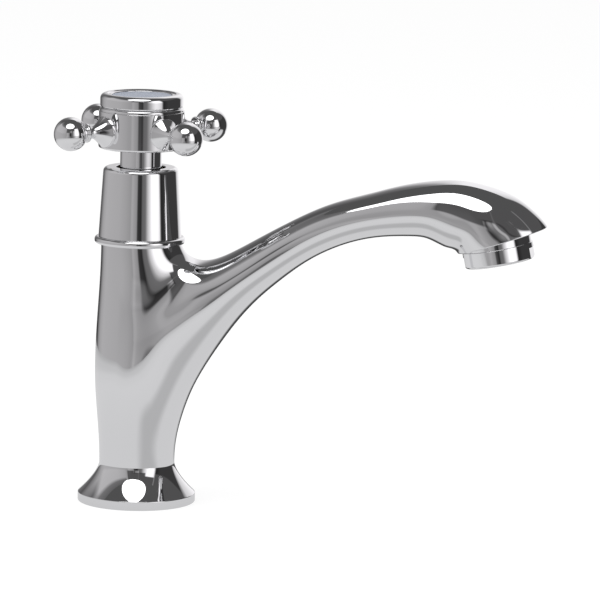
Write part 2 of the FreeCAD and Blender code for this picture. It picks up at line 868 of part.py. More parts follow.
def handle_screw():
    """Socket screw that pulls the handle on to the spindle."""
    head_foot = pocket_level + screw_washer_height
    head_top = head_foot + screw_head_height
    shank = cylinder(screw_shank_radius, head_foot - screw_shank_length, head_foot)
    head = cylinder(screw_head_radius, head_foot, head_top)
    socket = hexagon_prism(screw_socket_across_flats, head_top - screw_socket_depth, head_top)
    return shank.fuse(head).cut(socket).removeSplitter()


def handle_screw_washer():
    """Washer under the head of the handle screw."""
    high = pocket_level + screw_washer_height
    return ring(screw_shank_radius + screw_play, screw_washer_radius, pocket_level, high)


# ---------------------------------------------------------------------------
# Aerator, drawn about Z with the joint at zero and the jet downwards
# ---------------------------------------------------------------------------

def aerator_housing():
    """Chromed collar that screws the aerator into the spout."""
    solid = turned([
        (aerator_lip_radius, -aerator_height),
        (aerator_radius, -aerator_height),
        (aerator_radius, 0),
        (aerator_thread_radius, 0),
        (aerator_thread_radius, aerator_thread_length),
        (aerator_bore_radius, aerator_thread_length),
        (aerator_bore_radius, aerator_lip_height - aerator_height),
        (aerator_lip_radius, aerator_lip_height - aerator_height),
    ])
    solid = rounded(solid, aerator_radius, -aerator_height, aerator_edge_round)
    for side in (0, 180):
        block = Part.makeBox(
            aerator_radius,
            2 * aerator_radius,
            aerator_flat_height + cut_past,
            Vector(aerator_flat_distance, -aerator_radius, -aerator_height - cut_past),
        )
        solid = solid.cut(turned_copy(block, side))
    return on_outlet(solid)


def aerator_washer():
    """Rubber washer between the aerator and the socket's shoulder."""
    low = aerator_thread_length
    inner = aerator_thread_radius - aerator_washer_width
    return on_outlet(ring(inner, aerator_thread_radius, low, low + aerator_washer_height))


def cartridge_foot():
    """Height of the cartridge's lower rim, which rests on the collar's lip."""
    return aerator_lip_height - aerator_height


def mesh_level():
    """Height of the mesh's underside, on the cartridge's ledge."""
    return cartridge_foot() + cartridge_ledge_height


def diffuser_level():
    """Height of the diffuser's underside, above the mesh."""
    return mesh_level() + mesh_height + diffuser_rise


def aerator_cartridge():
    """Plastic cup with a ring of jets in its top plate."""
    top = aerator_thread_length
    solid = cylinder(cartridge_radius, cartridge_foot(), top)
    bore = cartridge_radius - cartridge_wall
    solid = solid.cut(cylinder(bore, mesh_level(), top - cartridge_plate_height))
    solid = solid.cut(cylinder(bore - cartridge_ledge_width, cartridge_foot(), mesh_level()))
    for index in range(cartridge_jet_count):
        place = Vector(bore * cartridge_jet_share, 0, top - cartridge_plate_height)
        jet = Part.makeCylinder(cartridge_jet_radius, cartridge_plate_height, place)
        solid = solid.cut(turned_copy(jet, 360 * index / cartridge_jet_count))
    return on_outlet(solid)


def aerator_diffuser():
    """Plastic grille inside the cartridge, cut by crossing slots."""
    radius = cartridge_radius - cartridge_wall - push_gap
    low = diffuser_level()
    high = low + diffuser_height
    solid = cylinder(radius, low, high)
    for index in range(diffuser_slot_count):
        offset = (index - (diffuser_slot_count - 1) / 2) * diffuser_slot_pitch
        half_length = math.sqrt((radius - grating_rim) ** 2 - offset ** 2)
        slot = Part.makeBox(
            2 * half_length,
            diffuser_slot_width,
            diffuser_height,
            Vector(-half_length, offset - diffuser_slot_width / 2, low),
        )
        solid = solid.cut(slot)
    return on_outlet(solid)


def aerator_mesh():
    """Flat grille at the mouth, with a hexagonal pattern of holes."""
    radius = cartridge_radius - cartridge_wall - push_gap
    low = mesh_level()
    solid = cylinder(radius, low, low + mesh_height)
    reach = radius - grating_rim - mesh_hole_radius
    row_pitch = mesh_hole_pitch * math.sqrt(3) / 2
    row_count = int(reach / row_pitch)
    holes = []
    for row in range(-row_count, row_count + 1):
        shift = mesh_hole_pitch / 2 * (row % 2)
        for column in range(-row_count - 1, row_count + 2):
            x_place = column * mesh_hole_pitch + shift
            y_place = row * row_pitch
            if math.hypot(x_place, y_place) <= reach:
                place = Vector(x_place, y_place, low)
                holes.append(Part.makeCylinder(mesh_hole_radius, mesh_height, place))
    return on_outlet(solid.cut(Part.makeCompound(holes)))


# ---------------------------------------------------------------------------
# Write one file for each piece
# ---------------------------------------------------------------------------

def all_pieces():
    """Every piece of the tap by its name."""
    pieces = {
        "body_casting": body_casting(),
        "base_seal_ring": base_seal_ring(),
        "collar_ring": collar_ring(),
        "bonnet_shroud": bonnet_shroud(),
        "headwork_housing": headwork_housing(),
        "headwork_gasket": headwork_gasket(),
        "seat_seal": seat_seal(),
        "ceramic_disc_fixed": ceramic_disc_fixed(),
        "ceramic_disc_moving": ceramic_disc_moving(),
        "thrust_washer": thrust_washer(),
        "spindle": spindle(),
        "spindle_o_rings": spindle_o_rings(),
        "circlip": circlip(),
        "handle_bush": handle_bush(),
        "handle_hub": handle_hub(),
        "index_cap": index_cap(),
        "index_cap_o_ring": index_cap_o_ring(),
        "index_disc": index_disc(),
        "handle_screw": handle_screw(),
        "handle_screw_washer": handle_screw_washer(),
        "aerator_housing": aerator_housing(),
        "aerator_washer": aerator_washer(),
        "aerator_cartridge": aerator_cartridge(),
        "aerator_diffuser": aerator_diffuser(),
        "aerator_mesh": aerator_mesh(),
    }
    for index in range(arm_count):
        pieces["cross_arm_%d" % (index + 1)] = cross_arm(index)
    return pieces


os.makedirs("parts", exist_ok=True)
for name, shape in all_pieces().items():
    shape.exportStep("parts/%s.step" % name)
    print("%-22s %2d solid(s) %10.1f mm3" % (name, len(shape.Solids), shape.Volume))
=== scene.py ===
# %% [markdown]
# # Cross handle basin tap
#
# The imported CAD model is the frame: it gives the places, the sizes and the moving
# bodies.  The pieces that show are built again below with exact normals, because
# polished metal shows every facet: turned profiles for most of them, and the skin of
# a field for the body.  The inner pieces stay as the CAD made them and get
# materials.  Lengths in the functions are millimetres.

# %% Load the frame
import json
import math

import bmesh
import bpy
import numpy as np
from mathutils import Matrix, Vector
from mathutils.kdtree import KDTree


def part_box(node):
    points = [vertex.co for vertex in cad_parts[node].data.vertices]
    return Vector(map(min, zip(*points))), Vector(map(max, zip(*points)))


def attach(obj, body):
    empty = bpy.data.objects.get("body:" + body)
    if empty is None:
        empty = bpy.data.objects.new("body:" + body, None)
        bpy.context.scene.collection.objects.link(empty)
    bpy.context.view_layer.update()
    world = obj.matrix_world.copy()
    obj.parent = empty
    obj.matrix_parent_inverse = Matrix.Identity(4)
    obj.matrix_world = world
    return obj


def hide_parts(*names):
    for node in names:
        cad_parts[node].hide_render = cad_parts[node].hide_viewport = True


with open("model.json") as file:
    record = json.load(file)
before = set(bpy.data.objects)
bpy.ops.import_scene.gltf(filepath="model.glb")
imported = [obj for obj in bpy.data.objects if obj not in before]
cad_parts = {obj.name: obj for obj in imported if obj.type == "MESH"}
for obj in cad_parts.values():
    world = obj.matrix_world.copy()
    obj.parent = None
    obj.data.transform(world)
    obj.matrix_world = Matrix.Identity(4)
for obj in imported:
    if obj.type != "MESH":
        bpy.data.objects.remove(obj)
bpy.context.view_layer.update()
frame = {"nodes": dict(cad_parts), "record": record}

# %% [markdown]
# ## Sizes from the frame
#
# A turned piece shows its levels and its greatest radius in its bounding box, so
# these are read from the CAD nodes instead of being typed again: when the CAD
# changes, the surfaces follow.  What a box can't tell, such as a rounded edge or a
# waist, is named in the cell of its own piece.

# %% Sizes
METRES_PER_MM = 0.001


def box_mm(node):
    """Low and high corner of a CAD node in millimetres."""
    low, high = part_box(node)
    return np.array(low) / METRES_PER_MM, np.array(high) / METRES_PER_MM


def levels_and_radius(node):
    """Lowest level, highest level and greatest radius of a piece turned about Z."""
    low, high = box_mm(node)
    return float(low[2]), float(high[2]), float(high[0])


collar_low, collar_high, collar_radius = levels_and_radius("collar_ring")
shroud_low, shroud_high, shroud_foot_radius = levels_and_radius("bonnet_shroud")
bush_low, bush_high, bush_radius = levels_and_radius("handle_bush")
hub_low, hub_high, hub_radius = levels_and_radius("handle_hub")
cap_low, cap_high, cap_radius = levels_and_radius("index_cap")
disc_low, disc_high, disc_radius = levels_and_radius("index_disc")

fine_round = 0.12           # a machined edge, broken just enough to catch the light

print("hub radius %.2f mm, cap top %.2f mm" % (hub_radius, cap_high))

# %% [markdown]
# ## Small tools on arrays
#
# The same few sums come back in every piece: unit vectors, level spokes, a smooth
# step and slopes taken by central differences.  Each works on whole arrays, because
# a Python loop over every vertex would take minutes.

# %% Vector helpers
straight_up = np.array([0, 0, 1.0])


def unit(vectors):
    """Vectors divided by their lengths."""
    return vectors / np.linalg.norm(vectors, axis=-1, keepdims=True)


def level_spokes(angle):
    """Level unit vectors (cos a, sin a, 0)."""
    return np.stack([np.cos(angle), np.sin(angle), 0 * angle], axis=-1)


def smooth_share(value, start, end):
    """s^2 (3 - 2 s), where s goes from 0 at start to 1 at end."""
    share = np.clip((value - start) / (end - start), 0, 1)
    return share * share * (3 - 2 * share)


def slopes(function, points, step):
    """(f(p + d) - f(p - d)) / 2 step, for a step d along each axis."""
    return np.stack([
        (function(points + shift) - function(points - shift)) / (2 * step)
        for shift in np.eye(3) * step], axis=-1)


def grid_of(*axes):
    """Coordinates of all the points of a grid, each as a flat array."""
    return [part.ravel() for part in np.meshgrid(*axes, indexing="ij")]


print("half of a smooth step:", smooth_share(0.5, 0, 1))

# %% [markdown]
# ## Profiles
#
# The collar, the hub or the cap of a real tap is cut on a lathe, so half of its
# section tells the whole piece. Such a profile is an array with one row per point:
# radius, height, and the outward normal's two parts, with the outside on the right
# of its run.
#
# Its corners could be left to a Bevel modifier, but chrome shows each small wave
# that an averaged normal leaves, so every corner is an exact arc with its own
# normals.

# %% Profiles
def right_of(direction):
    """Unit vector a quarter turn to the right of a direction in the plane."""
    return np.array([direction[1], -direction[0]])


def rounded_path(corners, closed=True, steps=8):
    """Straight runs with rounded corners.

    corners are (radius, height, rounding), or (radius, height) for a fine edge.
    Where the run turns by an angle a, the arc begins rounding * tan(a / 2) before
    the corner, and its points are centre +- rounding * n(p), while n(p) swings from
    one run's normal to the next.
    """
    corners = np.array([(*corner, fine_round)[:3] for corner in corners], float)
    place = corners[:, :2]
    run = np.roll(place, -1, axis=0) - place
    direction = unit(run)
    rows = []
    turning = range(len(corners)) if closed else range(1, len(corners) - 1)
    if not closed:
        rows.append(np.r_[place[0], right_of(direction[0])][None])
    for index in turning:
        before, after = direction[index - 1], direction[index]
        cross = before[0] * after[1] - before[1] * after[0]
        turn = math.atan2(cross, before @ after)
        size = corners[index, 2]
        first_normal = right_of(before)
        side = math.copysign(1, turn)
        start = place[index] - before * size * abs(math.tan(turn / 2))
        centre = start - side * size * first_normal
        angle = math.atan2(first_normal[1], first_normal[0])
        normal = level_spokes(angle + turn * np.linspace(0, 1, steps + 1))[:, :2]
        rows.append(np.hstack([centre + side * size * normal, normal]))
    if not closed:
        rows.append(np.r_[place[-1], right_of(direction[-2])][None])
    return np.vstack(rows)


def curve_path(place, shares):
    """Profile rows along a curve place(share), with normals from its slope."""
    step = 1e-5
    slope = unit(place(shares + step) - place(shares - step))
    return np.hstack([place(shares), slope[:, 1:], -slope[:, :1]])


square = rounded_path([(1, 0), (2, 0), (2, 1), (1, 1)])
print("a square profile with fine edges has", len(square), "rows")

# %% [markdown]
# ## Surfaces
#
# A turned surface is a profile carried round an axis. The Screw modifier could do
# it, but it can't carry the normals along, so the points and their normals are
# worked out together and given to the mesh as custom normals.
#
# A surface is a dictionary of points, normals and a grid of vertex numbers whose
# neighbouring rows are joined by faces.

# %% Surfaces and meshes
on_axis = 1e-9              # a smaller radius than this is the axis itself
around = 256                # steps round a turned piece
built_pieces = []           # (piece, its material slot), filled by dress


def turned_rows(path, angle):
    """Points and normals of a profile's rows turned about Z by each angle.

    x = r cos t, y = r sin t, z = h, for the profile's rows (r, h) and the angle t.
    """
    spokes = level_spokes(angle)
    radius, height, out, up = path.T[:, :, None, None]
    return radius * spokes + height * straight_up, out * spokes + up * straight_up


def turned_surface(path, closed=True, segments=around):
    """Surface of a profile turned about Z.

    An end of an open profile that lies on the axis becomes one point.
    """
    points, normals = turned_rows(path, 2 * math.pi * np.arange(segments) / segments)
    index = np.arange(len(path) * segments).reshape(len(path), segments)
    if closed:
        index = np.vstack([index, index[:1]])
    else:
        for end in (0, -1):
            if path[end, 0] < on_axis:
                index[end] = index[end, 0]
    return {"points": points.reshape(-1, 3), "normals": normals.reshape(-1, 3), "index": index}


def grid_cells(index):
    """Four vertex numbers for each cell between neighbouring rows of a closed grid."""
    lower, upper = index[:-1], index[1:]
    cells = [lower, np.roll(lower, -1, axis=1), np.roll(upper, -1, axis=1), upper]
    return np.stack(cells, axis=-1).reshape(-1, 4)


def add_object(name, data):
    """Object with its data, linked into the scene."""
    made = bpy.data.objects.new(name, data)
    bpy.context.scene.collection.objects.link(made)
    return made


def add_mesh(name, points, normals, cells, hard_normals=None):
    """Smooth mesh object from arrays, with cells whose repeated corner is dropped.

    hard_normals, where given, holds a normal for each cell, or nan to keep the
    smooth ones.
    """
    keep = cells != np.roll(cells, 1, axis=1)
    used, numbers = np.unique(cells, return_inverse=True)
    numbers = numbers.reshape(cells.shape)
    totals = keep.sum(axis=1)
    solid = totals >= 3
    keep, numbers, totals = keep[solid], numbers[solid], totals[solid]
    mesh = bpy.data.meshes.new(name)
    mesh.vertices.add(len(used))
    mesh.vertices.foreach_set("co", (points[used] * METRES_PER_MM).ravel())
    mesh.loops.add(int(totals.sum()))
    mesh.loops.foreach_set("vertex_index", numbers[keep])
    mesh.polygons.add(len(totals))
    mesh.polygons.foreach_set("loop_start", np.r_[0, np.cumsum(totals)[:-1]])
    mesh.update(calc_edges=True)
    mesh.polygons.foreach_set("use_smooth", np.ones(len(totals), bool))
    corner_normals = normals[used][numbers]
    if hard_normals is not None:
        hard = hard_normals[solid][:, None, :]
        corner_normals = np.where(np.isnan(hard), corner_normals, hard)
    mesh.normals_split_custom_set(corner_normals[keep].tolist())
    return add_object(name, mesh)


def add_surface(name, surface, hard_normals=None):
    """Mesh object of a surface."""
    cells = grid_cells(surface["index"])
    return add_mesh(name, surface["points"], surface["normals"], cells, hard_normals)


def add_turned(name, path, body, material_slot, node, closed=True):
    """Turned piece of a profile, dressed at once."""
    dress(add_surface(name, turned_surface(path, closed)), body, material_slot, node)


def dress(piece, body, material_slot, *nodes):
    """Let a built piece ride a body and stand for CAD nodes."""
    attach(piece, body)
    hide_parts(*nodes)
    built_pieces.append((piece, material_slot))
    print("%-16s %6d faces" % (piece.name, len(piece.data.polygons)))


print("a turned square has", len(turned_surface(square)["points"]), "points")

# %% [markdown]
# ## Collar
#
# A half-round ring sits where the shroud meets the pillar and hides their joint. A
# torus would do for its outside, but it would show no bore, so it is a profile
# whose two outer corners are rounded until they nearly meet.

# %% Collar
collar_bore_radius = 13.3
collar_round = 1.17


def collar_path():
    """Half-round ring between pillar and shroud."""
    return rounded_path([
        (collar_bore_radius, collar_low),
        (collar_radius, collar_low, collar_round),
        (collar_radius, collar_high, collar_round),
        (collar_bore_radius, collar_high),
    ], steps=12)


add_turned("collar", collar_path(), "root", "chrome_turned", "collar_ring")

# %% [markdown]
# ## Shroud
#
# This tapered cover hides the brass headwork and screws down on the collar. Its
# wall is drawn too, since its mouth shows a dark gap round the neck: a plain cone
# would look solid there.

# %% Shroud
shroud_top_radius = 14.2
shroud_wall = 1.9
shroud_edge_round = 1.7
shroud_mouth_radius = 9.4


def shroud_path():
    """Tapered cover with a rounded shoulder, its bore and its inner web."""
    inner_foot = shroud_foot_radius - shroud_wall
    inner_top = shroud_top_radius - shroud_wall
    roof = shroud_high - shroud_wall
    return rounded_path([
        (inner_foot, shroud_low),
        (shroud_foot_radius, shroud_low, 2 * fine_round),
        (shroud_top_radius, shroud_high, shroud_edge_round),
        (shroud_mouth_radius, shroud_high, 2 * fine_round),
        (shroud_mouth_radius, roof),
        (inner_top, roof),
    ], steps=12)


add_turned("shroud", shroud_path(), "root", "chrome_turned", "bonnet_shroud")

# %% [markdown]
# ## Neck bush
#
# The handle's neck reaches down into the shroud and holds the spindle. Only a few
# millimetres show, but they turn with the handle, so the bush rides the handle's
# body.

# %% Neck bush
bush_spigot_radius = 6.5
bush_bore_radius = 4.0
bush_web_height = 4.0
screw_hole_radius = 2.25


def bush_path():
    """Neck and spigot of the handle, with the socket for the spindle."""
    web_low = bush_high - bush_web_height
    return rounded_path([
        (bush_bore_radius, bush_low),
        (bush_radius, bush_low, 2 * fine_round),
        (bush_radius, hub_low),
        (bush_spigot_radius, hub_low),
        (bush_spigot_radius, bush_high),
        (screw_hole_radius, bush_high),
        (screw_hole_radius, web_low),
        (bush_bore_radius, web_low),
    ])


add_turned("neck_bush", bush_path(), "handle", "chrome_turned", "handle_bush")

# %% [markdown]
# ## Hub
#
# The hub carries the four arms, and its lip catches a thin bright line below the
# cap. A lip and a pocket are only more corners of the same profile.

# %% Hub
hub_lip_radius = 16.0
hub_lip_height = 1.5
hub_lip_round = 1.1
hub_edge_round = 0.9
hub_pocket_radius = 11.8
hub_floor = 4.7


def hub_path():
    """Round hub with a lip and a pocket for the cap."""
    shoulder = hub_high - hub_lip_height
    pocket = hub_low + hub_floor
    return rounded_path([
        (bush_spigot_radius, hub_low),
        (hub_radius, hub_low, hub_edge_round),
        (hub_radius, shoulder),
        (hub_lip_radius, shoulder),
        (hub_lip_radius, hub_high, hub_lip_round),
        (hub_pocket_radius, hub_high),
        (hub_pocket_radius, pocket),
        (bush_spigot_radius, pocket),
    ], steps=10)


add_turned("hub", hub_path(), "handle", "chrome_turned", "handle_hub")

# %% [markdown]
# ## Cap
#
# The index cap is pressed into the hub with a rubber ring in its groove. Its full
# round edge and its flat bezel give two of the brightest rings in the photo. The
# profile starts and ends on the axis, so it doesn't close on itself, and each of
# its two ends becomes one point.

# %% Cap
cap_flange_height = 5.1
cap_edge_round = 2.0
cap_foot_round = 0.7
cap_recess_radius = 11.4
cap_recess_depth = 2.0
cap_bezel_radius = 13.1
cap_bezel_depth = 0.4
cap_hollow_radius = 9.0
cap_floor = 1.5
cap_groove_radius = 10.3
cap_groove_height = 2.0


def cap_path():
    """Cap with a full round edge, a recess for the disc and a ring groove."""
    flange_low = cap_high - cap_flange_height
    recess = cap_high - cap_recess_depth
    groove_middle = (cap_low + flange_low) / 2
    groove_low = groove_middle - cap_groove_height / 2
    groove_high = groove_middle + cap_groove_height / 2
    roof = recess - cap_floor
    return rounded_path([
        (0, roof, 0),
        (cap_hollow_radius, roof),
        (cap_hollow_radius, cap_low),
        (hub_pocket_radius, cap_low),
        (hub_pocket_radius, groove_low),
        (cap_groove_radius, groove_low),
        (cap_groove_radius, groove_high),
        (hub_pocket_radius, groove_high),
        (hub_pocket_radius, flange_low),
        (cap_radius, flange_low, cap_foot_round),
        (cap_radius, cap_high, cap_edge_round),
        (cap_bezel_radius, cap_high, 2 * fine_round),
        (cap_bezel_radius - cap_bezel_depth, cap_high - cap_bezel_depth),
        (cap_recess_radius, cap_high - cap_bezel_depth, 3 * fine_round),
        (cap_recess_radius, recess),
        (0, recess, 0),
    ], closed=False, steps=10)


add_turned(
    "cap", cap_path(), "handle", "chrome_turned", "index_cap", closed=False)

# %% [markdown]
# ## Enamel disc
#
# A plain grey-blue disc fills the cap's recess. It could be a colour on the cap,
# but it is an inlaid piece with its own soft rim, so it has a mesh of its own.

# %% Enamel disc
def disc_path():
    """Plain enamel disc with a softened rim."""
    return rounded_path([
        (0, disc_low, 0),
        (disc_radius, disc_low),
        (disc_radius, disc_high, 2 * fine_round),
        (0, disc_high, 0),
    ], closed=False)


add_turned(
    "enamel_disc", disc_path(), "handle", "index_disc", "index_disc", closed=False)

# %% [markdown]
# ## Profile of an arm
#
# Each arm of the cross is one turned bar: a bell foot, a waist, a small collar and
# a ball.  Parts of it could be joined from a cone, a cylinder and a sphere, but
# their seams would show in the chrome, so one profile runs from foot to ball.

# %% Profile of an arm
arm_height_above_hub = 6.9
arm_count = 4
arm_first_angle = 45.0
ball_radius = 6.4
ball_centre_radius = 31.4
arm_collar_radius = 3.6
arm_collar_width = 1.3
arm_collar_centre = 24.6
arm_neck_radius = 2.8
arm_waist_radius = 2.1
arm_waist_centre = 22.6
arm_bell_radius = 5.9
arm_bell_rim = 0.9
arm_bell_power = 1.7
arm_level = hub_low + arm_height_above_hub
bell_end = hub_radius + arm_bell_rim
arm_segments = 128
bell_shares = np.linspace(0.04, 0.98, 24)       # rows of the bell's curve
ball_shares = np.linspace(0.015, 0.999, 64)     # and of the ball's


def bell_place(share):
    """Bell's curve from its rim (share 0) to the waist (share 1)."""
    swell = (arm_bell_radius - arm_waist_radius) * (1 - share) ** arm_bell_power
    along = bell_end + share * (arm_waist_centre - bell_end)
    return np.stack([arm_waist_radius + swell, along], axis=1)


def ball_place(share):
    """Ball's curve from the neck (share 0) to its far pole (share 1)."""
    start = math.asin(arm_neck_radius / ball_radius)
    angle = start + share * (math.pi - start)
    return np.stack([
        ball_radius * np.sin(angle),
        ball_centre_radius - ball_radius * np.cos(angle),
    ], axis=1)


def arm_path():
    """Foot, bell, waist, collar, neck and ball, from one end to the other."""
    collar_low = arm_collar_centre - arm_collar_width / 2
    collar_high = arm_collar_centre + arm_collar_width / 2
    bell = curve_path(bell_place, bell_shares)
    ball = curve_path(ball_place, ball_shares)
    foot = rounded_path([
        (0, hub_radius, 0),
        (arm_bell_radius, hub_radius),
        (arm_bell_radius, bell_end, 3 * fine_round),
        (bell[0, 0], bell[0, 1], 0),
    ], closed=False)
    middle = rounded_path([
        (bell[-1, 0], bell[-1, 1], 0),
        (arm_waist_radius, arm_waist_centre + fine_round),
        (arm_waist_radius, collar_low, 2 * fine_round),
        (arm_collar_radius, collar_low, 4 * fine_round),
        (arm_collar_radius, collar_high, 4 * fine_round),
        (arm_neck_radius, collar_high, 2 * fine_round),
        (ball[0, 0], ball[0, 1], 0),
    ], closed=False)
    pole = np.array([[0, ball_centre_radius + ball_radius, 0, 1]])
    return np.vstack([foot[:-1], bell, middle[1:-1], ball, pole])


print("rows in an arm's profile:", len(arm_path()))

# %% [markdown]
# ## Foot on the round hub
#
# The bell's flat foot has to lie on the hub's round side. A Boolean could cut it,
# but it would break the smooth normals. Instead a point is drawn in by
# R - sqrt(R^2 - s^2), where s is its distance to the side of the arm's axis, and
# this fades out between the bell's rim and the waist.

# %% Arms
def follow_hub(points):
    """Points of an arm along Z, with the foot drawn on to the hub's round side."""
    drop = hub_radius - np.sqrt(hub_radius ** 2 - points[:, 0] ** 2)
    moved = points.copy()
    moved[:, 2] -= drop * (1 - smooth_share(points[:, 2], bell_end, arm_waist_centre))
    return moved


def follow_hub_normals(points, normals):
    """Normals after follow_hub: those before it times its slopes' inverse transpose."""
    shape = slopes(follow_hub, points, step=1e-4)
    return unit(np.einsum("nji,nj->ni", np.linalg.inv(shape), normals))


def arm_surface(angle):
    """Arm that points outwards at an angle round the hub."""
    surface = turned_surface(arm_path(), closed=False, segments=arm_segments)
    normals = follow_hub_normals(surface["points"], surface["normals"])
    outward = level_spokes(angle)
    turn = np.stack([np.cross(straight_up, outward), straight_up, outward])
    surface["points"] = follow_hub(surface["points"]) @ turn + arm_level * straight_up
    surface["normals"] = normals @ turn
    return surface


for number in range(arm_count):
    direction = math.radians(arm_first_angle + 360 * number / arm_count)
    arm = add_surface("arm_%d" % (number + 1), arm_surface(direction))
    dress(arm, "handle", "chrome_turned", "cross_arm_%d" % (number + 1))

# %% [markdown]
# ## Aerator collar
#
# The collar holds the jet's strainer and unscrews with a wrench, which its two
# flats are for.  It is turned about the jet's axis, which leans with the spout's
# end.  The flats could be cut with a Boolean.  Here, below the flats' top, a point
# further out than a flat is brought back to it, and the flat's faces get one hard
# normal, so that they mirror like a ground plane.

# %% Aerator collar
outlet_centre = np.array([139.0, 0.0, 98.8])
outlet_tilt = math.radians(11.45)
aerator_radius = 13.47
aerator_height = 6.2
aerator_edge_round = 1.0
aerator_thread_radius = 12.0
aerator_thread_length = 6.0
aerator_bore_radius = 10.6
aerator_lip_radius = 9.5
aerator_lip_height = 1.2
aerator_flat_distance = 12.6
aerator_flat_height = 4.2


def onto_outlet(points):
    """Points drawn about Z, with zero at the joint, moved on to the outlet."""
    cos, sin = math.cos(outlet_tilt), math.sin(outlet_tilt)
    turn = np.array([[cos, 0, sin], [0, 1, 0], [-sin, 0, cos]])
    return points @ turn


jet_axis = onto_outlet(-straight_up)
joint_centre = outlet_centre - jet_axis * aerator_height


def aerator_path():
    """Collar with its thread, its bore and the inner lip."""
    lip = aerator_lip_height - aerator_height
    flat_top = aerator_flat_height - aerator_height
    path = rounded_path([
        (aerator_lip_radius, -aerator_height, 3 * fine_round),
        (aerator_radius, -aerator_height, aerator_edge_round),
        (aerator_radius, 0, 2 * fine_round),
        (aerator_thread_radius, 0),
        (aerator_thread_radius, aerator_thread_length),
        (aerator_bore_radius, aerator_thread_length),
        (aerator_bore_radius, lip),
        (aerator_lip_radius, lip),
    ])
    side = np.array([[aerator_radius, flat_top, 1.0, 0.0]])
    on_side = np.flatnonzero(np.isclose(path[:, 0], aerator_radius, atol=1e-6))
    return np.insert(path, on_side[1], np.vstack([side, side]), axis=0), on_side[1]


def aerator_surface():
    """Turned collar with its flats, and the flats' own normals."""
    path, ledge = aerator_path()
    surface = turned_surface(path)
    points = surface["points"].reshape(len(path), around, 3)
    beyond = np.abs(points[..., 0]) > aerator_flat_distance
    beyond[ledge + 1:] = False
    points[beyond, 0] = np.sign(points[beyond, 0]) * aerator_flat_distance
    points = points.reshape(-1, 3)
    cells = grid_cells(surface["index"])
    flat = beyond.ravel()[cells].all(axis=1)
    hard = np.full((len(cells), 3), np.nan)
    hard[flat] = 0
    hard[flat, 0] = np.sign(points[cells[flat, 0], 0])
    hard[ledge * around:(ledge + 1) * around] = -straight_up
    surface["points"] = onto_outlet(points) + joint_centre
    surface["normals"] = onto_outlet(surface["normals"])
    return surface, onto_outlet(hard)


outlet_surface, flat_normals = aerator_surface()
aerator = add_surface("aerator_collar", outlet_surface, flat_normals)
dress(aerator, "root", "chrome_turned", "aerator_housing")

# %% [markdown]
# ## Pillar of the body
#
# Pillar and spout are cast in one, and they flow into each other without an edge.
# Two meshes joined by a Boolean and a Bevel would show a seam there, and so would a
# remesh.  So each of them is a field, zero on the skin and positive outside, and the
# two are joined by a smooth minimum.  The pillar's field is (rho - R(z)) cos b, with
# b the slope of its side.

# %% Pillar
base_radius = 22.5
base_rim_height = 3.4
flare_height = 15.0
flare_power = 1.55
neck_radius = 14.4
belly_radius = 16.5
belly_height = 52.0
pillar_top_radius = 14.7
pillar_height = collar_low


def half_wave(height, low, high, first, second):
    """first + (second - first) (1 - cos(pi s)) / 2, with s from 0 at low to 1 at high."""
    share = (height - low) / (high - low)
    return first + (second - first) * (1 - np.cos(math.pi * share)) / 2


def pillar_radius(height):
    """Outside radius of the pillar.

    R = neck + (base - neck) s^p in the flare, with s from 1 at the rim to 0 at the
    neck, then a half wave out to the belly and one in to the top.
    """
    share = np.clip((flare_height - height) / (flare_height - base_rim_height), 0, 1)
    flare = neck_radius + (base_radius - neck_radius) * share ** flare_power
    swell = half_wave(height, flare_height, belly_height, neck_radius, belly_radius)
    draw = half_wave(height, belly_height, pillar_height, belly_radius, pillar_top_radius)
    return np.where(height < flare_height, flare, np.where(height < belly_height, swell, draw))


def pillar_field(points):
    """(rho - R(z)) cos b outside the pillar's side."""
    step = 1e-4
    x, y, height = points.T
    slope = (pillar_radius(height + step) - pillar_radius(height - step)) / (2 * step)
    return (np.hypot(x, y) - pillar_radius(height)) / np.hypot(1, slope)


print("pillar radius at the belly: %.2f mm" % pillar_radius(belly_height))

# %% [markdown]
# ## Sections along the spout
#
# The spout's section changes all the way: tall where it leaves the pillar, slender
# in the arch, and broad and egg-shaped at the beak. A curve with a bevel profile
# keeps one shape, so the sections are given one by one, and a natural cubic spline
# goes through their numbers, because its bends change smoothly and so do the
# reflections.

# %% Sections along the spout
spout_low = 28.3            # level of the sections' z share of zero
spout_rise = 99.6           # and from there to the share of one
beak_width = 28.0

# Sections along the spout: (top x, top z, bottom x, bottom z, width, egg), in the
# form that the CAD part gives them, and wider than its own at the root.  At the root,
# x is a share of the neck's radius, elsewhere of the outlet's reach; z is a share of
# the spout's rise, and width one of the beak's.
spout_root = [
    (-0.286, 0.600, 0.895, -0.063, 1.125, 0.0),
    (0.210, 0.618, 1.409, 0.140, 1.115, 0.0),
]
spout_stations = [
    (0.086, 0.634, 0.185, 0.246, 1.085, 0.0),
    (0.140, 0.646, 0.229, 0.342, 1.045, 0.0),
    (0.190, 0.658, 0.279, 0.438, 0.975, 0.0),
    (0.321, 0.748, 0.392, 0.596, 0.800, 0.0),
    (0.423, 0.829, 0.477, 0.685, 0.680, 0.0),
    (0.537, 0.904, 0.578, 0.753, 0.650, 0.0),
    (0.647, 0.952, 0.673, 0.785, 0.685, 0.0),
    (0.745, 0.990, 0.755, 0.793, 0.757, 0.02),
    (0.848, 1.011, 0.806, 0.785, 0.843, 0.05),
    (0.935, 1.003, 0.853, 0.758, 0.907, 0.09),
    (1.021, 0.968, 0.883, 0.741, 0.971, 0.10),
    (1.079, 0.918, 0.912, 0.684, 1.000, 0.10),
    (1.130, 0.842, 0.970, 0.687, 0.929, 0.10),
    (1.149, 0.780, 1.020, 0.686, 0.714, 0.10),
]


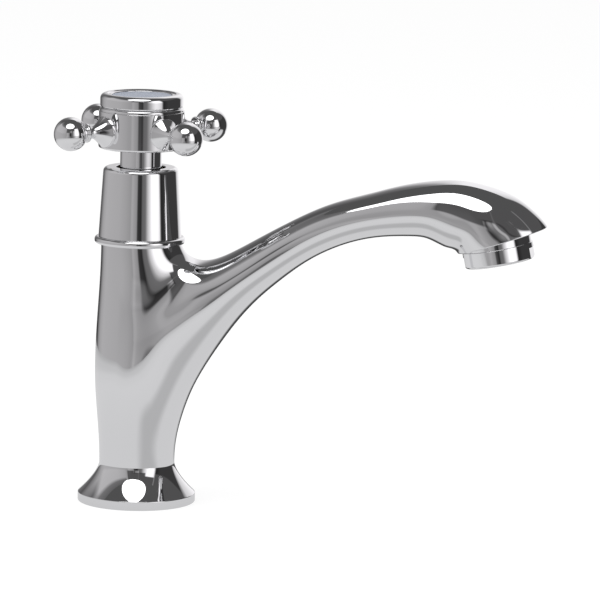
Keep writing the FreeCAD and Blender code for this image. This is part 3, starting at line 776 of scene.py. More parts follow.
def station_table():
    """Middle (x, z), half height (x, z), half width and egg of each section."""
    rows = []
    for reach, stations in ((neck_radius, spout_root), (outlet_centre[0], spout_stations)):
        for top_x, top_z, low_x, low_z, width, egg in stations:
            top = np.array([top_x * reach, spout_low + top_z * spout_rise])
            low = np.array([low_x * reach, spout_low + low_z * spout_rise])
            rows.append([*(top + low) / 2, *(top - low) / 2, width * beak_width / 2, egg])
    return np.array(rows)


stations = station_table()
middle_steps = np.linalg.norm(np.diff(stations[:, :2], axis=0), axis=1)
knots = np.r_[0, np.cumsum(middle_steps)]


def bending(knots, values):
    """Second derivatives of the natural cubic spline through the values."""
    gap = np.diff(knots)
    count = len(knots)
    matrix = np.eye(count)
    right = np.zeros_like(values)
    slope = np.diff(values, axis=0) / gap[:, None]
    for row in range(1, count - 1):
        matrix[row, row - 1:row + 2] = gap[row - 1], 2 * (gap[row - 1] + gap[row]), gap[row]
        right[row] = 6 * (slope[row] - slope[row - 1])
    return np.linalg.solve(matrix, right)


station_bends = bending(knots, stations)
moves_past_ends = np.array([True, True, False, False, False, False])


def section_at(place):
    """Section values and their derivative along the spout.

    With a the share of the gap before the place and b = 1 - a, the spline is
    b f + a g + ((b^3 - b) f'' + (a^3 - a) g'') gap^2 / 6.  Past the ends the middle
    goes straight on and the rest keeps its last value.
    """
    inside = np.clip(place, knots[0], knots[-1])
    index = np.clip(np.searchsorted(knots, inside) - 1, 0, len(knots) - 2)
    gap = (knots[index + 1] - knots[index])[:, None]
    ahead = (inside - knots[index])[:, None] / gap
    behind = 1 - ahead
    first, second = stations[index], stations[index + 1]
    bend_first, bend_second = station_bends[index], station_bends[index + 1]
    bend = (behind ** 3 - behind) * bend_first + (ahead ** 3 - ahead) * bend_second
    value = behind * first + ahead * second + bend * gap ** 2 / 6
    bend = (3 * ahead ** 2 - 1) * bend_second - (3 * behind ** 2 - 1) * bend_first
    past = (place - inside)[:, None]
    rate = np.where((past == 0) | moves_past_ends, (second - first) / gap + bend * gap / 6, 0)
    return value + past * rate, rate


print("sections:", len(stations), "along %.1f mm" % knots[-1])

# %% [markdown]
# ## Where a point lies in the sections
#
# The field needs to know, for any point (x, z), the section's place t and the
# height v in it that hold the point. There is no closed formula for that, so a
# coarse map is made once from the nearest of many tries, and a few Newton steps
# make it exact.

# %% Place in the sections for each point
least_det = 1e-3
most_place_step, most_height_step = 4, 0.5


def improve_place(place, height, x, z, rounds):
    """Newton steps for the section place and height v that hold the point (x, z)."""
    for _ in range(rounds):
        value, rate = section_at(place)
        middle_x, middle_z, half_x, half_z = value.T[:4]
        error_x = middle_x + height * half_x - x
        error_z = middle_z + height * half_z - z
        along_x, along_z = (rate[:, :2] + height[:, None] * rate[:, 2:4]).T
        det = along_x * half_z - along_z * half_x
        det = np.where(np.abs(det) < least_det, least_det, det)
        place_step = (error_x * half_z - error_z * half_x) / det
        height_step = (along_x * error_z - along_z * error_x) / det
        place = place - np.clip(place_step, -most_place_step, most_place_step)
        height = height - np.clip(height_step, -most_height_step, most_height_step)
    return place, height


map_step = 1.0
map_low = np.array([-26.0, 6.0])
map_size = (200, 132)
tried_before, tried_after = 25, 6   # how far the places tried go past the sections
tried_height = 2.4
tried_counts = (500, 49)
map_rounds, field_rounds, skin_rounds = 4, 3, 3     # Newton steps


def section_map():
    """Section place and height for each point of a coarse (x, z) grid."""
    place, height = grid_of(
        np.linspace(knots[0] - tried_before, knots[-1] + tried_after, tried_counts[0]),
        np.linspace(-tried_height, tried_height, tried_counts[1]))
    value = section_at(place)[0]
    spots = value[:, :2] + height[:, None] * value[:, 2:4]
    tree = KDTree(len(spots))
    for number, (x, z) in enumerate(spots.tolist()):
        tree.insert((x, 0, z), number)
    tree.balance()
    x, z = grid_of(*(low + map_step * np.arange(size) for low, size in zip(map_low, map_size)))
    nearest = np.array([tree.find((a, 0, b))[1] for a, b in zip(x, z)])
    found = improve_place(place[nearest], height[nearest], x, z, map_rounds)
    return [part.reshape(map_size) for part in found]


place_map, height_map = section_map()
print("map of sections:", place_map.shape)

# %% [markdown]
# ## Spout's field and the blend
#
# With q = v^2 + (y / W)^2 the spout's field is zero where q is one. Divided by its
# own slope it becomes nearly a distance, as the pillar's is, so the smooth minimum
# rounds their joint evenly: tightly at the foot, widely at the saddle on top.

# %% Spout's field and the blend
root_fade_from = 4.0        # behind this x the spout's field rises by s^3 / root_fade
root_fade = 160.0
most_egg_height = 1.5       # heights past this make a section no narrower
tiny = 1e-9


def spout_field(points):
    """Approximate distance (sqrt(q) - 1) sqrt(q) / slope to the spout's skin."""
    x, y, z = points.T
    spot = np.round((points[:, ::2] - map_low) / map_step).astype(int)
    spot = tuple(np.clip(spot, 0, np.array(map_size) - 1).T)
    place, height = improve_place(place_map[spot], height_map[spot], x, z, field_rounds)
    _, _, half_x, half_z, width, egg = section_at(place)[0].T
    half = np.hypot(half_x, half_z)
    width = width * (1 - egg * np.clip(height, -most_egg_height, most_egg_height))
    root = np.sqrt(height ** 2 + (y / width) ** 2 + tiny)
    slope = np.sqrt((height / half) ** 2 + (y / width ** 2) ** 2 + tiny)
    return (root - 1) * root / slope + np.clip(root_fade_from - x, 0, None) ** 3 / root_fade


blend_at_foot = 6.0         # reach of the smooth join at the spout's foot
blend_at_saddle = 22.0      # and at the saddle on top
blend_levels = (74.0, 94.0)


def body_field(points):
    """Smooth minimum min(a, b) - k h^3 / 6 with h = max(1 - |a - b| / k, 0)."""
    pillar = pillar_field(points)
    spout = spout_field(points)
    share = smooth_share(points[:, 2], *blend_levels)
    reach = blend_at_foot + (blend_at_saddle - blend_at_foot) * share
    overlap = np.clip(1 - np.abs(pillar - spout) / reach, 0, None)
    return np.minimum(pillar, spout) - reach * overlap ** 3 / 6


def body_slope(points):
    """Gradient of the body's field."""
    return slopes(body_field, points, step=1e-3)


def onto_skin(points, rounds, in_plane=None):
    """Points moved along the gradient on to the skin, within a plane where given."""
    for _ in range(rounds):
        slope = body_slope(points)
        if in_plane is not None:
            slope -= np.outer(slope @ in_plane, in_plane)
        points = points - (body_field(points) / (slope ** 2).sum(axis=1))[:, None] * slope
    return points


belly_point = np.array([[0, belly_radius, belly_height]])
print("body field at the belly's side: %.2f mm" % body_field(belly_point)[0])

# %% [markdown]
# ## Skin from a grid of cells
#
# Metaballs also mesh a field, but they only know their own. Surface nets are as
# simple: every cell of a grid that the skin crosses gets one vertex, and every
# crossed edge one quad. The vertices are then moved along the slope on to the skin.

# %% Skin from a grid of cells
cell = 0.75
grid_low = np.array([-18.0, -18.0, flare_height - 3 * cell])
grid_high = np.array([164.0, 18.0, 130.0])


def sample_grid(low, high, step):
    """Field values on a grid, in slabs along X."""
    axes = [np.arange(low[axis], high[axis] + step, step) for axis in range(3)]
    slabs = [body_field(np.stack(grid_of([x], *axes[1:]), axis=1)) for x in axes[0]]
    return np.stack(slabs).reshape([len(axis) for axis in axes])


def surface_nets(values, low, step):
    """Vertices and quads of the zero surface.

    Each cell that the surface crosses has one vertex, the mean of the crossings on
    its edges, and each crossed edge is the middle of one quad.
    """
    cells = np.array(values.shape) - 1
    total = np.zeros((*cells, 3))
    count = np.zeros(cells)
    rings = []
    for axis in range(3):
        second, third = (axis + 1) % 3, (axis + 2) % 3
        first = np.take(values, range(cells[axis]), axis=axis)
        last = np.take(values, range(1, cells[axis] + 1), axis=axis)
        edge = np.argwhere((first < 0) != (last < 0))
        start, end = first[tuple(edge.T)], last[tuple(edge.T)]
        crossing = edge.astype(float)
        crossing[:, axis] += start / (start - end)
        ring = []
        for shift in ((0, 0), (-1, 0), (-1, -1), (0, -1)):
            around_edge = edge.copy()
            around_edge[:, second] += shift[0]
            around_edge[:, third] += shift[1]
            ring.append(around_edge)
        ring = np.stack(ring, axis=1)
        whole = ((ring >= 0) & (ring < cells)).all(axis=(1, 2))
        ring, crossing, start = ring[whole], crossing[whole], start[whole]
        for corner in range(4):
            np.add.at(total, tuple(ring[:, corner].T), crossing)
            np.add.at(count, tuple(ring[:, corner].T), 1)
        rings.append(np.where((start < 0)[:, None, None], ring, ring[:, ::-1]))
    rings = np.concatenate(rings)
    flat = np.ravel_multi_index(tuple(np.moveaxis(rings, 2, 0)), cells)
    used, quads = np.unique(flat, return_inverse=True)
    centres = total.reshape(-1, 3)[used] / count.ravel()[used][:, None]
    return low + centres * step, quads.reshape(-1, 4)


print("grid steps:", np.ceil((grid_high - grid_low) / cell).astype(int))

# %% [markdown]
# ## Cutting the skin at its ends
#
# The skin runs on past the flare, the top and the outlet. It is cut there by
# planes, which leaves three clean borders. They are moved on to the skin again,
# within their planes, and the rest of the body grows from them.

# %% Cut skin
end_face_slope = math.radians(18.6)
end_face_margin = 0.15
end_face_round = 0.4        # depth taken by the rounded edge of the end face
pillar_top_round = 0.3


def cut_skin(points, quads, cuts):
    """Skin cut by planes; each cut is (point, normal kept away from, low x, high x)."""
    mesh = bpy.data.meshes.new("skin")
    mesh.from_pydata(points.tolist(), [], quads.tolist())
    work = bmesh.new()
    work.from_mesh(mesh)
    for place, normal, low_x, high_x in cuts:
        near = [face for face in work.faces if low_x < face.calc_center_median().x < high_x]
        around_faces = set(near)
        for face in near:
            around_faces.update(face.edges)
            around_faces.update(face.verts)
        bmesh.ops.bisect_plane(
            work, geom=list(around_faces), plane_co=place, plane_no=normal, clear_outer=True)
    work.to_mesh(mesh)
    work.free()
    points = np.zeros(len(mesh.vertices) * 3)
    mesh.vertices.foreach_get("co", points)
    faces = [tuple(face.vertices) for face in mesh.polygons]
    bpy.data.meshes.remove(mesh)
    return points.reshape(-1, 3), faces


def border_loops(faces):
    """Closed runs of vertex numbers along the edges that only one face has."""
    edges = set()
    for face in faces:
        edges.update(zip(face, face[1:] + face[:1]))
    onward = {first: second for first, second in edges if (second, first) not in edges}
    loops = []
    while onward:
        loop = [next(iter(onward))]
        while onward[loop[-1]] != loop[0]:
            loop.append(onward[loop[-1]])
        for number in loop:
            del onward[number]
        loops.append(loop)
    return loops


face_up = np.array([-math.sin(end_face_slope), 0, math.cos(end_face_slope)])
face_reach = aerator_radius + end_face_margin
face_corner = joint_centre - onto_outlet(np.array([face_reach, 0, 0]))
top_cut = pillar_height - pillar_top_round
whole_x, pillar_x, outlet_x = (-30, 200), (-30, 24), (100, 200)     # where a cut works


def body_skin():
    """Points, faces and normals of the blended skin, cut at its three ends."""
    values = sample_grid(grid_low, grid_high, cell)
    points, quads = surface_nets(values, grid_low, cell)
    points = onto_skin(points, skin_rounds)
    points, faces = cut_skin(points, quads, [
        ((0, 0, flare_height), (0, 0, -1), *whole_x),
        ((0, 0, top_cut), (0, 0, 1), *pillar_x),
        (face_corner + end_face_round * face_up, -face_up, *outlet_x),
    ])
    ends = {}
    for loop in border_loops(faces):
        centre = points[loop].mean(axis=0)
        name, normal = ("top" if centre[2] > belly_height else "foot"), straight_up
        if centre[0] > outlet_centre[0] / 2:
            name, normal = "outlet", face_up
        points[loop] = onto_skin(points[loop], skin_rounds, normal)
        ends[name] = loop
    return points, faces, unit(body_slope(points)), ends


skin = body_skin()
print("skin:", len(skin[0]), "points, ends:", sorted(skin[3]))

# %% [markdown]
# ## Columns grown from the borders
#
# Below the flare, above the top and inside the outlet the body is turned again, and
# its edges are sharp. A column is a row of rings, each with the normals with which
# it is reached and left: where the two differ, the edge stays sharp.

# %% Columns of faces
def start_model(points, faces, normals):
    """Mesh lists that columns are added to."""
    corners = [normals[list(face)] for face in faces]
    return {"points": [points], "count": len(points), "faces": list(faces), "corners": corners}


def grow_columns(model, loop, start_normals, rings):
    """Bands of faces from a border loop through rings of new points.

    A ring is (points, normals on arriving, normals on leaving), with one row for
    each vertex of the loop; a ring of one point closes the end.
    """
    below, below_normals = np.array(loop), start_normals
    for points, arriving, leaving in rings:
        numbers = model["count"] + np.arange(len(points))
        model["points"].append(points)
        model["count"] += len(points)
        above = np.resize(numbers, len(below))
        arriving = np.broadcast_to(arriving, (len(below), 3))
        for here in range(len(below)):
            after = (here + 1) % len(below)
            face = [below[after], below[here], above[here], above[after]]
            corner = [*below_normals[[after, here]], arriving[here], arriving[after]]
            if len(points) == 1:
                face, corner = face[:3], corner[:3]
            model["faces"].append(tuple(face))
            model["corners"].append(np.array(corner))
        below = above
        below_normals = np.broadcast_to(leaving, (len(below), 3))


def turned_rings(path, angle):
    """Rings of a profile at the angles of a loop; the last row may be a pole."""
    return [
        (ring[:1] if row[0] < on_axis else ring, normals, normals)
        for row, ring, normals in zip(path, *turned_rows(path, angle))]

# %% [markdown]
# ## Foot and inlet
#
# The base flange stands on the basin, with a rubber ring in its groove, and water
# comes in from below. The underside is seen when the tap lies on a table, so its
# thread's bore and its groove are there.

# %% Foot and inlet
inlet_thread_radius = 9.32
inlet_mouth_chamfer = 1.0
inlet_thread_end = 15.0
inlet_runout = 1.0
inlet_cavity_radius = 10.0
seal_groove_radius = 18.6
seal_groove_width = 3.0
seal_groove_depth = 2.0
seat_hole_radius = 6.0
seat_level = 70.0
seat_web_thickness = 4.0
base_rim_round = 0.35
base_edge_round = 0.5
flare_shares = np.linspace(0.03, 0.995, 40)     # rows of the flare's curve


def foot_path():
    """From the inlet's closed end, down the bore and out to the top of the flare."""
    roof = seat_level - seat_web_thickness
    cone = inlet_cavity_radius - seat_hole_radius
    groove_inner = seal_groove_radius - seal_groove_width / 2
    groove_outer = seal_groove_radius + seal_groove_width / 2

    def flare_place(share):
        """Flare's curve from the rim (share 0) to the neck (share 1)."""
        height = base_rim_height + (flare_height - base_rim_height) * (1 - (1 - share) ** 2)
        return np.stack([pillar_radius(height), height], axis=1)

    flare = curve_path(flare_place, flare_shares)
    return np.vstack([rounded_path([
        (0, roof, 0),
        (seat_hole_radius, roof),
        (inlet_cavity_radius, roof - cone),
        (inlet_cavity_radius, inlet_thread_end + inlet_runout),
        (inlet_thread_radius, inlet_thread_end),
        (inlet_thread_radius, inlet_mouth_chamfer),
        (inlet_thread_radius + inlet_mouth_chamfer, 0),
        (groove_inner, 0),
        (groove_inner, seal_groove_depth),
        (groove_outer, seal_groove_depth),
        (groove_outer, 0),
        (base_radius, 0, base_edge_round),
        (base_radius, base_rim_height, base_rim_round),
        (flare[0, 0], flare[0, 1], 0),
    ], closed=False)[:-1], flare])


print("rows in the foot's profile:", len(foot_path()))

# %% [markdown]
# ## Outlet and top
#
# At the outlet the skin ends in a small round edge and a sloping face, from which a
# boss with the aerator's socket stands out. At the top a flat ring holds the
# headwork in its bore. The round edges turn each border's own normals into the
# face's normal, so the chrome shows no line where they begin.

# %% Outlet and top
boss_radius = 12.95
socket_radius = 12.05
socket_depth = 7.6
headwork_bore_radius = 10.47
end_edge_steps, top_edge_steps = 8, 6


def raised(points, height):
    """Points lifted by a height, or each by its own."""
    return points + np.multiply.outer(height, straight_up)


def outlet_rings(points, normals):
    """Rounded edge, sloping end face, boss and socket at the outlet."""
    rings = []
    facing = normals @ -face_up
    radius = (end_face_round / (1 - facing))[:, None]
    centre = points - radius * normals
    swing = np.arccos(facing)[:, None]
    for share in np.linspace(0, 1, end_edge_steps + 1)[1:]:
        normal = np.sin((1 - share) * swing) * normals + np.sin(share * swing) * -face_up
        normal /= np.sin(swing)
        rings.append((centre + radius * normal, normal, normal))
    local = (rings[-1][0] - joint_centre) @ onto_outlet(np.eye(3)).T
    across = level_spokes(np.arctan2(local[:, 1], local[:, 0]))
    level = (boss_radius * across[:, 0] + face_reach) * math.tan(end_face_slope - outlet_tilt)
    radial, jet = onto_outlet(across), jet_axis

    def circle(size, height):
        """Circle about the jet's axis, at a height or a height for each point."""
        return joint_centre + onto_outlet(raised(size * across, height))

    edge = unit(radial + jet)
    rings += [
        (circle(boss_radius, level), -face_up, radial),
        (circle(boss_radius, 0.5 * fine_round), radial, edge),
        (circle(boss_radius - 0.5 * fine_round, 0), edge, jet),
        (circle(socket_radius, 0), jet, -radial),
        (circle(socket_radius, socket_depth), -radial, jet),
        (joint_centre[None] - socket_depth * jet, jet, jet),
    ]
    return rings


def top_rings(points, normals):
    """Rounded top edge, flat top and the bore for the headwork."""
    outward = level_spokes(np.arctan2(points[:, 1], points[:, 0]))
    centre = points - pillar_top_round * outward
    rings = []
    for swing in np.linspace(0, math.pi / 2, top_edge_steps + 1)[1:]:
        normal = math.cos(swing) * outward + math.sin(swing) * straight_up
        rings.append((centre + pillar_top_round * normal, normal, normal))
    bore = headwork_bore_radius * outward
    rings += [
        (raised(bore, pillar_height), straight_up, -outward),
        (raised(bore, seat_level), -outward, straight_up),
        (seat_level * straight_up[None], straight_up, straight_up),
    ]
    return rings

# %% [markdown]
# ## Whole body
#
# The skin and its three columns become one closed mesh, with a normal for each
# corner of each face.

# %% Whole body
def body_object():
    """Whole body: the blended skin with its foot, top and outlet grown on."""
    points, faces, normals, ends = skin
    model = start_model(points, faces, normals)
    foot = ends["foot"]
    angle = np.arctan2(points[foot, 1], points[foot, 0])
    grow_columns(model, foot, normals[foot], turned_rings(foot_path()[::-1], angle))
    for name, make_rings in (("top", top_rings), ("outlet", outlet_rings)):
        loop = ends[name]
        grow_columns(model, loop, normals[loop], make_rings(points[loop], normals[loop]))
    mesh = bpy.data.meshes.new("body")
    points = np.vstack(model["points"]) * METRES_PER_MM
    mesh.from_pydata(points.tolist(), [], model["faces"])
    mesh.polygons.foreach_set("use_smooth", np.ones(len(mesh.polygons), bool))
    mesh.normals_split_custom_set(np.vstack(model["corners"]).tolist())
    return add_object("body", mesh)


dress(body_object(), "root", "chrome_cast", "body_casting")

# %% [markdown]
# ## Node helpers
#
# A material is a tree of nodes.  Built by hand it takes a line for each node, value
# and link, so a helper makes a node, sets its values and links its inputs at once.
# Patterns read Object coordinates, which stay with the piece when it moves.

# %% Node helpers
def feed(tree, node, wires):
    """Links from sources to a node's inputs, by name or number."""
    for socket, source in wires.items():
        tree.links.new(source, node.inputs[socket])


def add_node(tree, kind, wires=None, **settings):
    """New node: settings are its attributes or inputs, wires feed its inputs."""
    node = tree.nodes.new(kind)
    for key, value in settings.items():
        if hasattr(node, key):
            setattr(node, key, value)
        else:
            node.inputs[key.replace("_", " ")].default_value = value
    feed(tree, node, wires or {})
    return node


def new_group(name, inputs, outputs):
    """Shader node group with float sockets, and its two end nodes."""
    tree = bpy.data.node_groups.new(name, "ShaderNodeTree")
    for socket, value in inputs.items():
        made = tree.interface.new_socket(
            name=socket, in_out="INPUT", socket_type="NodeSocketFloat")
        made.default_value = value
    for socket in outputs:
        tree.interface.new_socket(name=socket, in_out="OUTPUT", socket_type="NodeSocketFloat")
    return tree, add_node(tree, "NodeGroupInput"), add_node(tree, "NodeGroupOutput")


def math_node(tree, operation, *values):
    """Math node whose inputs are sockets or numbers."""
    node = add_node(tree, "ShaderNodeMath", operation=operation)
    for socket, value in zip(node.inputs, values):
        if isinstance(value, (int, float)):
            socket.default_value = value
        else:
            tree.links.new(value, socket)
    return node.outputs[0]


def object_place(tree):
    """Place in object coordinates."""
    return add_node(tree, "ShaderNodeTexCoord").outputs["Object"]


def noise_output(tree, scale, detail, stretch=(1, 1, 1)):
    """Noise in object coordinates, 0 to 1, with its own stretch."""
    mapping = add_node(tree, "ShaderNodeMapping", {"Vector": object_place(tree)}, Scale=stretch)
    noise = add_node(
        tree, "ShaderNodeTexNoise", {"Vector": mapping.outputs["Vector"]},
        Scale=scale, Detail=detail)
    return noise.outputs["Fac"]


print("node helpers are ready")

# %% [markdown]
# ## Wear of the chrome
#
# A tap that is used has faint smears and a few dried drops. They could be painted
# on an image, but noise needs no file. Both chromes use them, so they are a node
# group: built once, placed in each material with its own values.

# %% Polish wear
# Noise scales, in features per metre.
smear_scale, drop_scale, drop_patch_scale, ripple_scale = 55, 160, 90, 240
tint_scale, grain_scale, fine_grain_scale = 30, 120, 1400
smear_stretch = (1, 1, 0.35)
drop_size = 0.11            # of the distance between two drops' places
drop_rarity = 0.62          # noise level above which a drop has dried


def polish_group():
    """Handling smears and dried drops: a roughness and a very small height."""
    tree, start, end = new_group(
        "polish_wear", {"Base Roughness": 0.03, "Smear": 0.03, "Spots": 0.08},
        ("Roughness", "Height"))
    smear = noise_output(tree, smear_scale, 4, smear_stretch)
    smear = math_node(tree, "MULTIPLY", smear, start.outputs["Smear"])
    cells = add_node(
        tree, "ShaderNodeTexVoronoi", {"Vector": object_place(tree)}, Scale=drop_scale)
    drop = math_node(tree, "LESS_THAN", cells.outputs["Distance"], drop_size)
    rare = noise_output(tree, drop_patch_scale, 1)
    rare = math_node(tree, "GREATER_THAN", rare, drop_rarity)
    drop = math_node(tree, "MULTIPLY", drop, rare)
    spots = math_node(tree, "MULTIPLY", drop, start.outputs["Spots"])
    total = math_node(tree, "ADD", start.outputs["Base Roughness"], smear)
    feed(tree, end, {
        "Roughness": math_node(tree, "ADD", total, spots),
        "Height": noise_output(tree, ripple_scale, 3),
    })
    return tree


polish_wear = polish_group()
print("polish wear:", len(polish_wear.nodes), "nodes")

# %% [markdown]
# ## Rings of the lathe
#
# Bare brass and steel keep the fine rings of the cutting tool. Noise along one
# number, the height plus the distance from the axis, gives rings on sides and on
# flat faces alike.

# %% Lathe rings
def lathe_group():
    """Fine rings left by turning: noise of z + sqrt(x^2 + y^2)."""
    tree, start, end = new_group("lathe_rings", {"Pitch": 900.0}, ("Mask",))
    parts = add_node(tree, "ShaderNodeSeparateXYZ", {"Vector": object_place(tree)})
    squares = [
        math_node(tree, "MULTIPLY", parts.outputs[axis], parts.outputs[axis]) for axis in "XY"]
    radius = math_node(tree, "SQRT", math_node(tree, "ADD", *squares))
    along = math_node(tree, "ADD", parts.outputs["Z"], radius)
    along = math_node(tree, "MULTIPLY", along, start.outputs["Pitch"])
    vector = add_node(tree, "ShaderNodeCombineXYZ", {"X": along})
    noise = add_node(
        tree, "ShaderNodeTexNoise", {"Vector": vector.outputs["Vector"]}, Scale=1, Detail=3)
    feed(tree, end, {"Mask": noise.outputs["Fac"]})
    return tree


lathe_rings = lathe_group()
print("lathe rings:", len(lathe_rings.nodes), "nodes")

# %% [markdown]
# ## Moulded grain
#
# Rubber, fibre, ceramic and plastic share a fine irregular grain, at a strength of
# their own.

# %% Moulded grain
def grain_group():
    """Moulded or matt grain: a mask and a height."""
    tree, start, end = new_group("moulded_grain", {"Contrast": 0.3}, ("Mask", "Height"))
    coarse = noise_output(tree, grain_scale, 5)
    feed(tree, end, {
        "Mask": math_node(tree, "MULTIPLY", coarse, start.outputs["Contrast"]),
        "Height": noise_output(tree, fine_grain_scale, 2),
    })
    return tree


moulded_grain = grain_group()
print("moulded grain:", len(moulded_grain.nodes), "nodes")

# %% [markdown]
# ## Materials
#
# Chrome is a metal with a very low roughness: all that is seen of it is its
# surroundings, so its colour is nearly white and its wear very faint. Bare metal
# takes its colour and roughness from the rings, the moulded ones from the grain.

# %% Chrome, bare metal and moulded materials
chrome_unevenness = 0.985   # darkest part of the plating against its colour
chrome_relief = 0.00002     # metres
grain_relief = 0.00005


def new_material(name):
    """Material with its tree and its shader node."""
    material = bpy.data.materials.new(name)
    material.use_nodes = True
    tree = material.node_tree
    return material, tree, tree.nodes["Principled BSDF"]


def add_bump(tree, shader, height, strength, distance):
    """Bump from a height socket into the shader's normal."""
    bump = add_node(
        tree, "ShaderNodeBump", {"Height": height}, Strength=strength, Distance=distance)
    feed(tree, shader, {"Normal": bump.outputs["Normal"]})


def add_ramp(tree, value, low, high):
    """Colour that goes from low to high with a value."""
    ramp = add_node(tree, "ShaderNodeValToRGB", {"Fac": value})
    ramp.color_ramp.elements[0].color = (*low, 1)
    ramp.color_ramp.elements[1].color = (*high, 1)
    return ramp.outputs["Color"]


def chrome_material(name, colour, base_roughness, ripple):
    """Chrome plate with faint smears, a few dried drops and a soft ripple."""
    material, tree, shader = new_material(name)
    shader.inputs["Metallic"].default_value = 1
    wear = add_node(
        tree, "ShaderNodeGroup", node_tree=polish_wear,
        Base_Roughness=base_roughness, Smear=0.03, Spots=0.06)
    darker = [part * chrome_unevenness for part in colour]
    feed(tree, shader, {
        "Base Color": add_ramp(tree, noise_output(tree, tint_scale, 2), darker, colour),
        "Roughness": wear.outputs["Roughness"],
    })
    add_bump(tree, shader, wear.outputs["Height"], ripple, chrome_relief)
    return material


def masked_colour(tree, shader, mask, low, high, roughness, least_roughness):
    """Colour and roughness that follow a mask from their low to their high value."""
    rough = math_node(tree, "MULTIPLY", mask, roughness)
    feed(tree, shader, {
        "Base Color": add_ramp(tree, mask, low, high),
        "Roughness": math_node(tree, "ADD", rough, least_roughness),
    })


def turned_metal(name, low, high, roughness, pitch, strength):
    """Bare turned metal with rings in its colour and height."""
    material, tree, shader = new_material(name)
    shader.inputs["Metallic"].default_value = 1
    rings = add_node(tree, "ShaderNodeGroup", node_tree=lathe_rings, Pitch=pitch)
    mask = rings.outputs["Mask"]
    masked_colour(tree, shader, mask, low, high, roughness, roughness / 2)
    add_bump(tree, shader, mask, strength, grain_relief)
    return material


def moulded_material(name, low, high, roughness, bump, coat=0.0):
    """Plastic, rubber, fibre or ceramic with its own grain."""
    material, tree, shader = new_material(name)
    grain = add_node(tree, "ShaderNodeGroup", node_tree=moulded_grain, Contrast=1.0)
    mask = grain.outputs["Mask"]
    masked_colour(tree, shader, mask, low, high, roughness * 0.5, roughness * 0.75)
    shader.inputs["Coat Weight"].default_value = coat
    add_bump(tree, shader, grain.outputs["Height"], bump, grain_relief)
    return material

print("reliefs in mm:", chrome_relief * 1000, grain_relief * 1000)

# %% [markdown]
# ## A material for each slot
#
# The record gives every CAD node a slot, and the built pieces name theirs, so one
# table of slots dresses them all.

# %% Materials by slot
materials = {
    "chrome_cast": chrome_material("chrome_cast", (0.86, 0.86, 0.87), 0.02, 0.02),
    "chrome_turned": chrome_material("chrome_turned", (0.87, 0.87, 0.88), 0.015, 0.015),
    "index_disc": moulded_material(
        "enamel_grey_blue", (0.30, 0.335, 0.41), (0.32, 0.355, 0.43), 0.42, 0.02, 0.06),
    "black_rubber": moulded_material("black_rubber", [0.018] * 3, [0.045] * 3, 0.75, 0.4),
    "brass": turned_metal(
        "turned_brass", (0.62, 0.45, 0.18), (0.80, 0.63, 0.30), 0.3, 2600.0, 0.3),
    "red_fibre": moulded_material(
        "red_fibre", (0.34, 0.07, 0.045), (0.50, 0.15, 0.10), 0.8, 0.5),
    "ceramic": moulded_material(
        "alumina", (0.80, 0.78, 0.73), (0.88, 0.86, 0.82), 0.25, 0.05, 0.2),
    "white_plastic": moulded_material(
        "acetal", (0.74, 0.74, 0.71), (0.82, 0.82, 0.80), 0.45, 0.1),
    "steel": turned_metal(
        "stainless_steel", (0.50, 0.50, 0.51), (0.62, 0.62, 0.63), 0.28, 3400.0, 0.2),
}
slot_of_node = {part["node"]: part["material_slot"] for part in frame["record"]["subparts"]}
for piece, material_slot in built_pieces:
    piece.data.materials.append(materials[material_slot])
for node_name, node in frame["nodes"].items():
    node.data.materials.clear()
    node.data.materials.append(materials[slot_of_node[node_name]])
print("materials:", len(materials))

# %% [markdown]
# ## Camera
#
# The camera stands where the photographer's did: a long lens, a little above the
# tap and turned and rolled by a few degrees.  Its three axes are worked out from
# those angles, which is plainer to read than Euler angles.

# %% Camera
camera_azimuth = math.radians(11.0)
camera_pitch = math.radians(9.10)
camera_roll = math.radians(1.09)
camera_distance = 2.0
camera_target = Vector((0.06255, 0, 0.08074))
camera_lens = 316.4
camera_sensor = 36.0
camera_far = 50

flat_right = np.array([math.cos(camera_azimuth), math.sin(camera_azimuth), 0])
flat_back = np.array([-math.sin(camera_azimuth), math.cos(camera_azimuth), 0])
view_back = Vector(math.sin(camera_pitch) * straight_up - math.cos(camera_pitch) * flat_back)
view_right = Vector(flat_right)
view_up = view_back.cross(view_right)
tilted_right = math.cos(camera_roll) * view_right + math.sin(camera_roll) * view_up
tilted_up = math.cos(camera_roll) * view_up - math.sin(camera_roll) * view_right

camera_data = bpy.data.cameras.new("camera")
camera_data.lens = camera_lens
camera_data.sensor_width = camera_sensor
camera_data.clip_end = camera_far
camera = add_object("camera", camera_data)
turn = Matrix((tilted_right, tilted_up, view_back)).transposed().to_4x4()
camera.matrix_world = Matrix.Translation(camera_target + camera_distance * view_back) @ turn
bpy.context.scene.camera = camera
print("camera at", [round(value, 3) for value in camera.matrix_world.translation])

# %% [markdown]
# ## Panels that only metal sees
#
# A polished tap shows the room round it, so the room has to be built. An image of a
# room could light it, but no picture may be used. Here it is a wall, a ceiling and
# a softbox whose brightness is stored in each mesh and glows, seen in reflections
# alone.

# %% Panels
def blank_material(name):
    """Material whose node tree is empty."""
    material = bpy.data.materials.new(name)
    material.use_nodes = True
    material.node_tree.nodes.clear()
    return material, material.node_tree


def glow_material(name):
    """Emission whose colour is the mesh's own glow attribute."""
    material, tree = blank_material(name)
    glow = add_node(tree, "ShaderNodeAttribute", attribute_name="glow")
    light = add_node(tree, "ShaderNodeEmission", {"Color": glow.outputs["Color"]})
    add_node(tree, "ShaderNodeOutputMaterial", {"Surface": light.outputs["Emission"]})
    return material


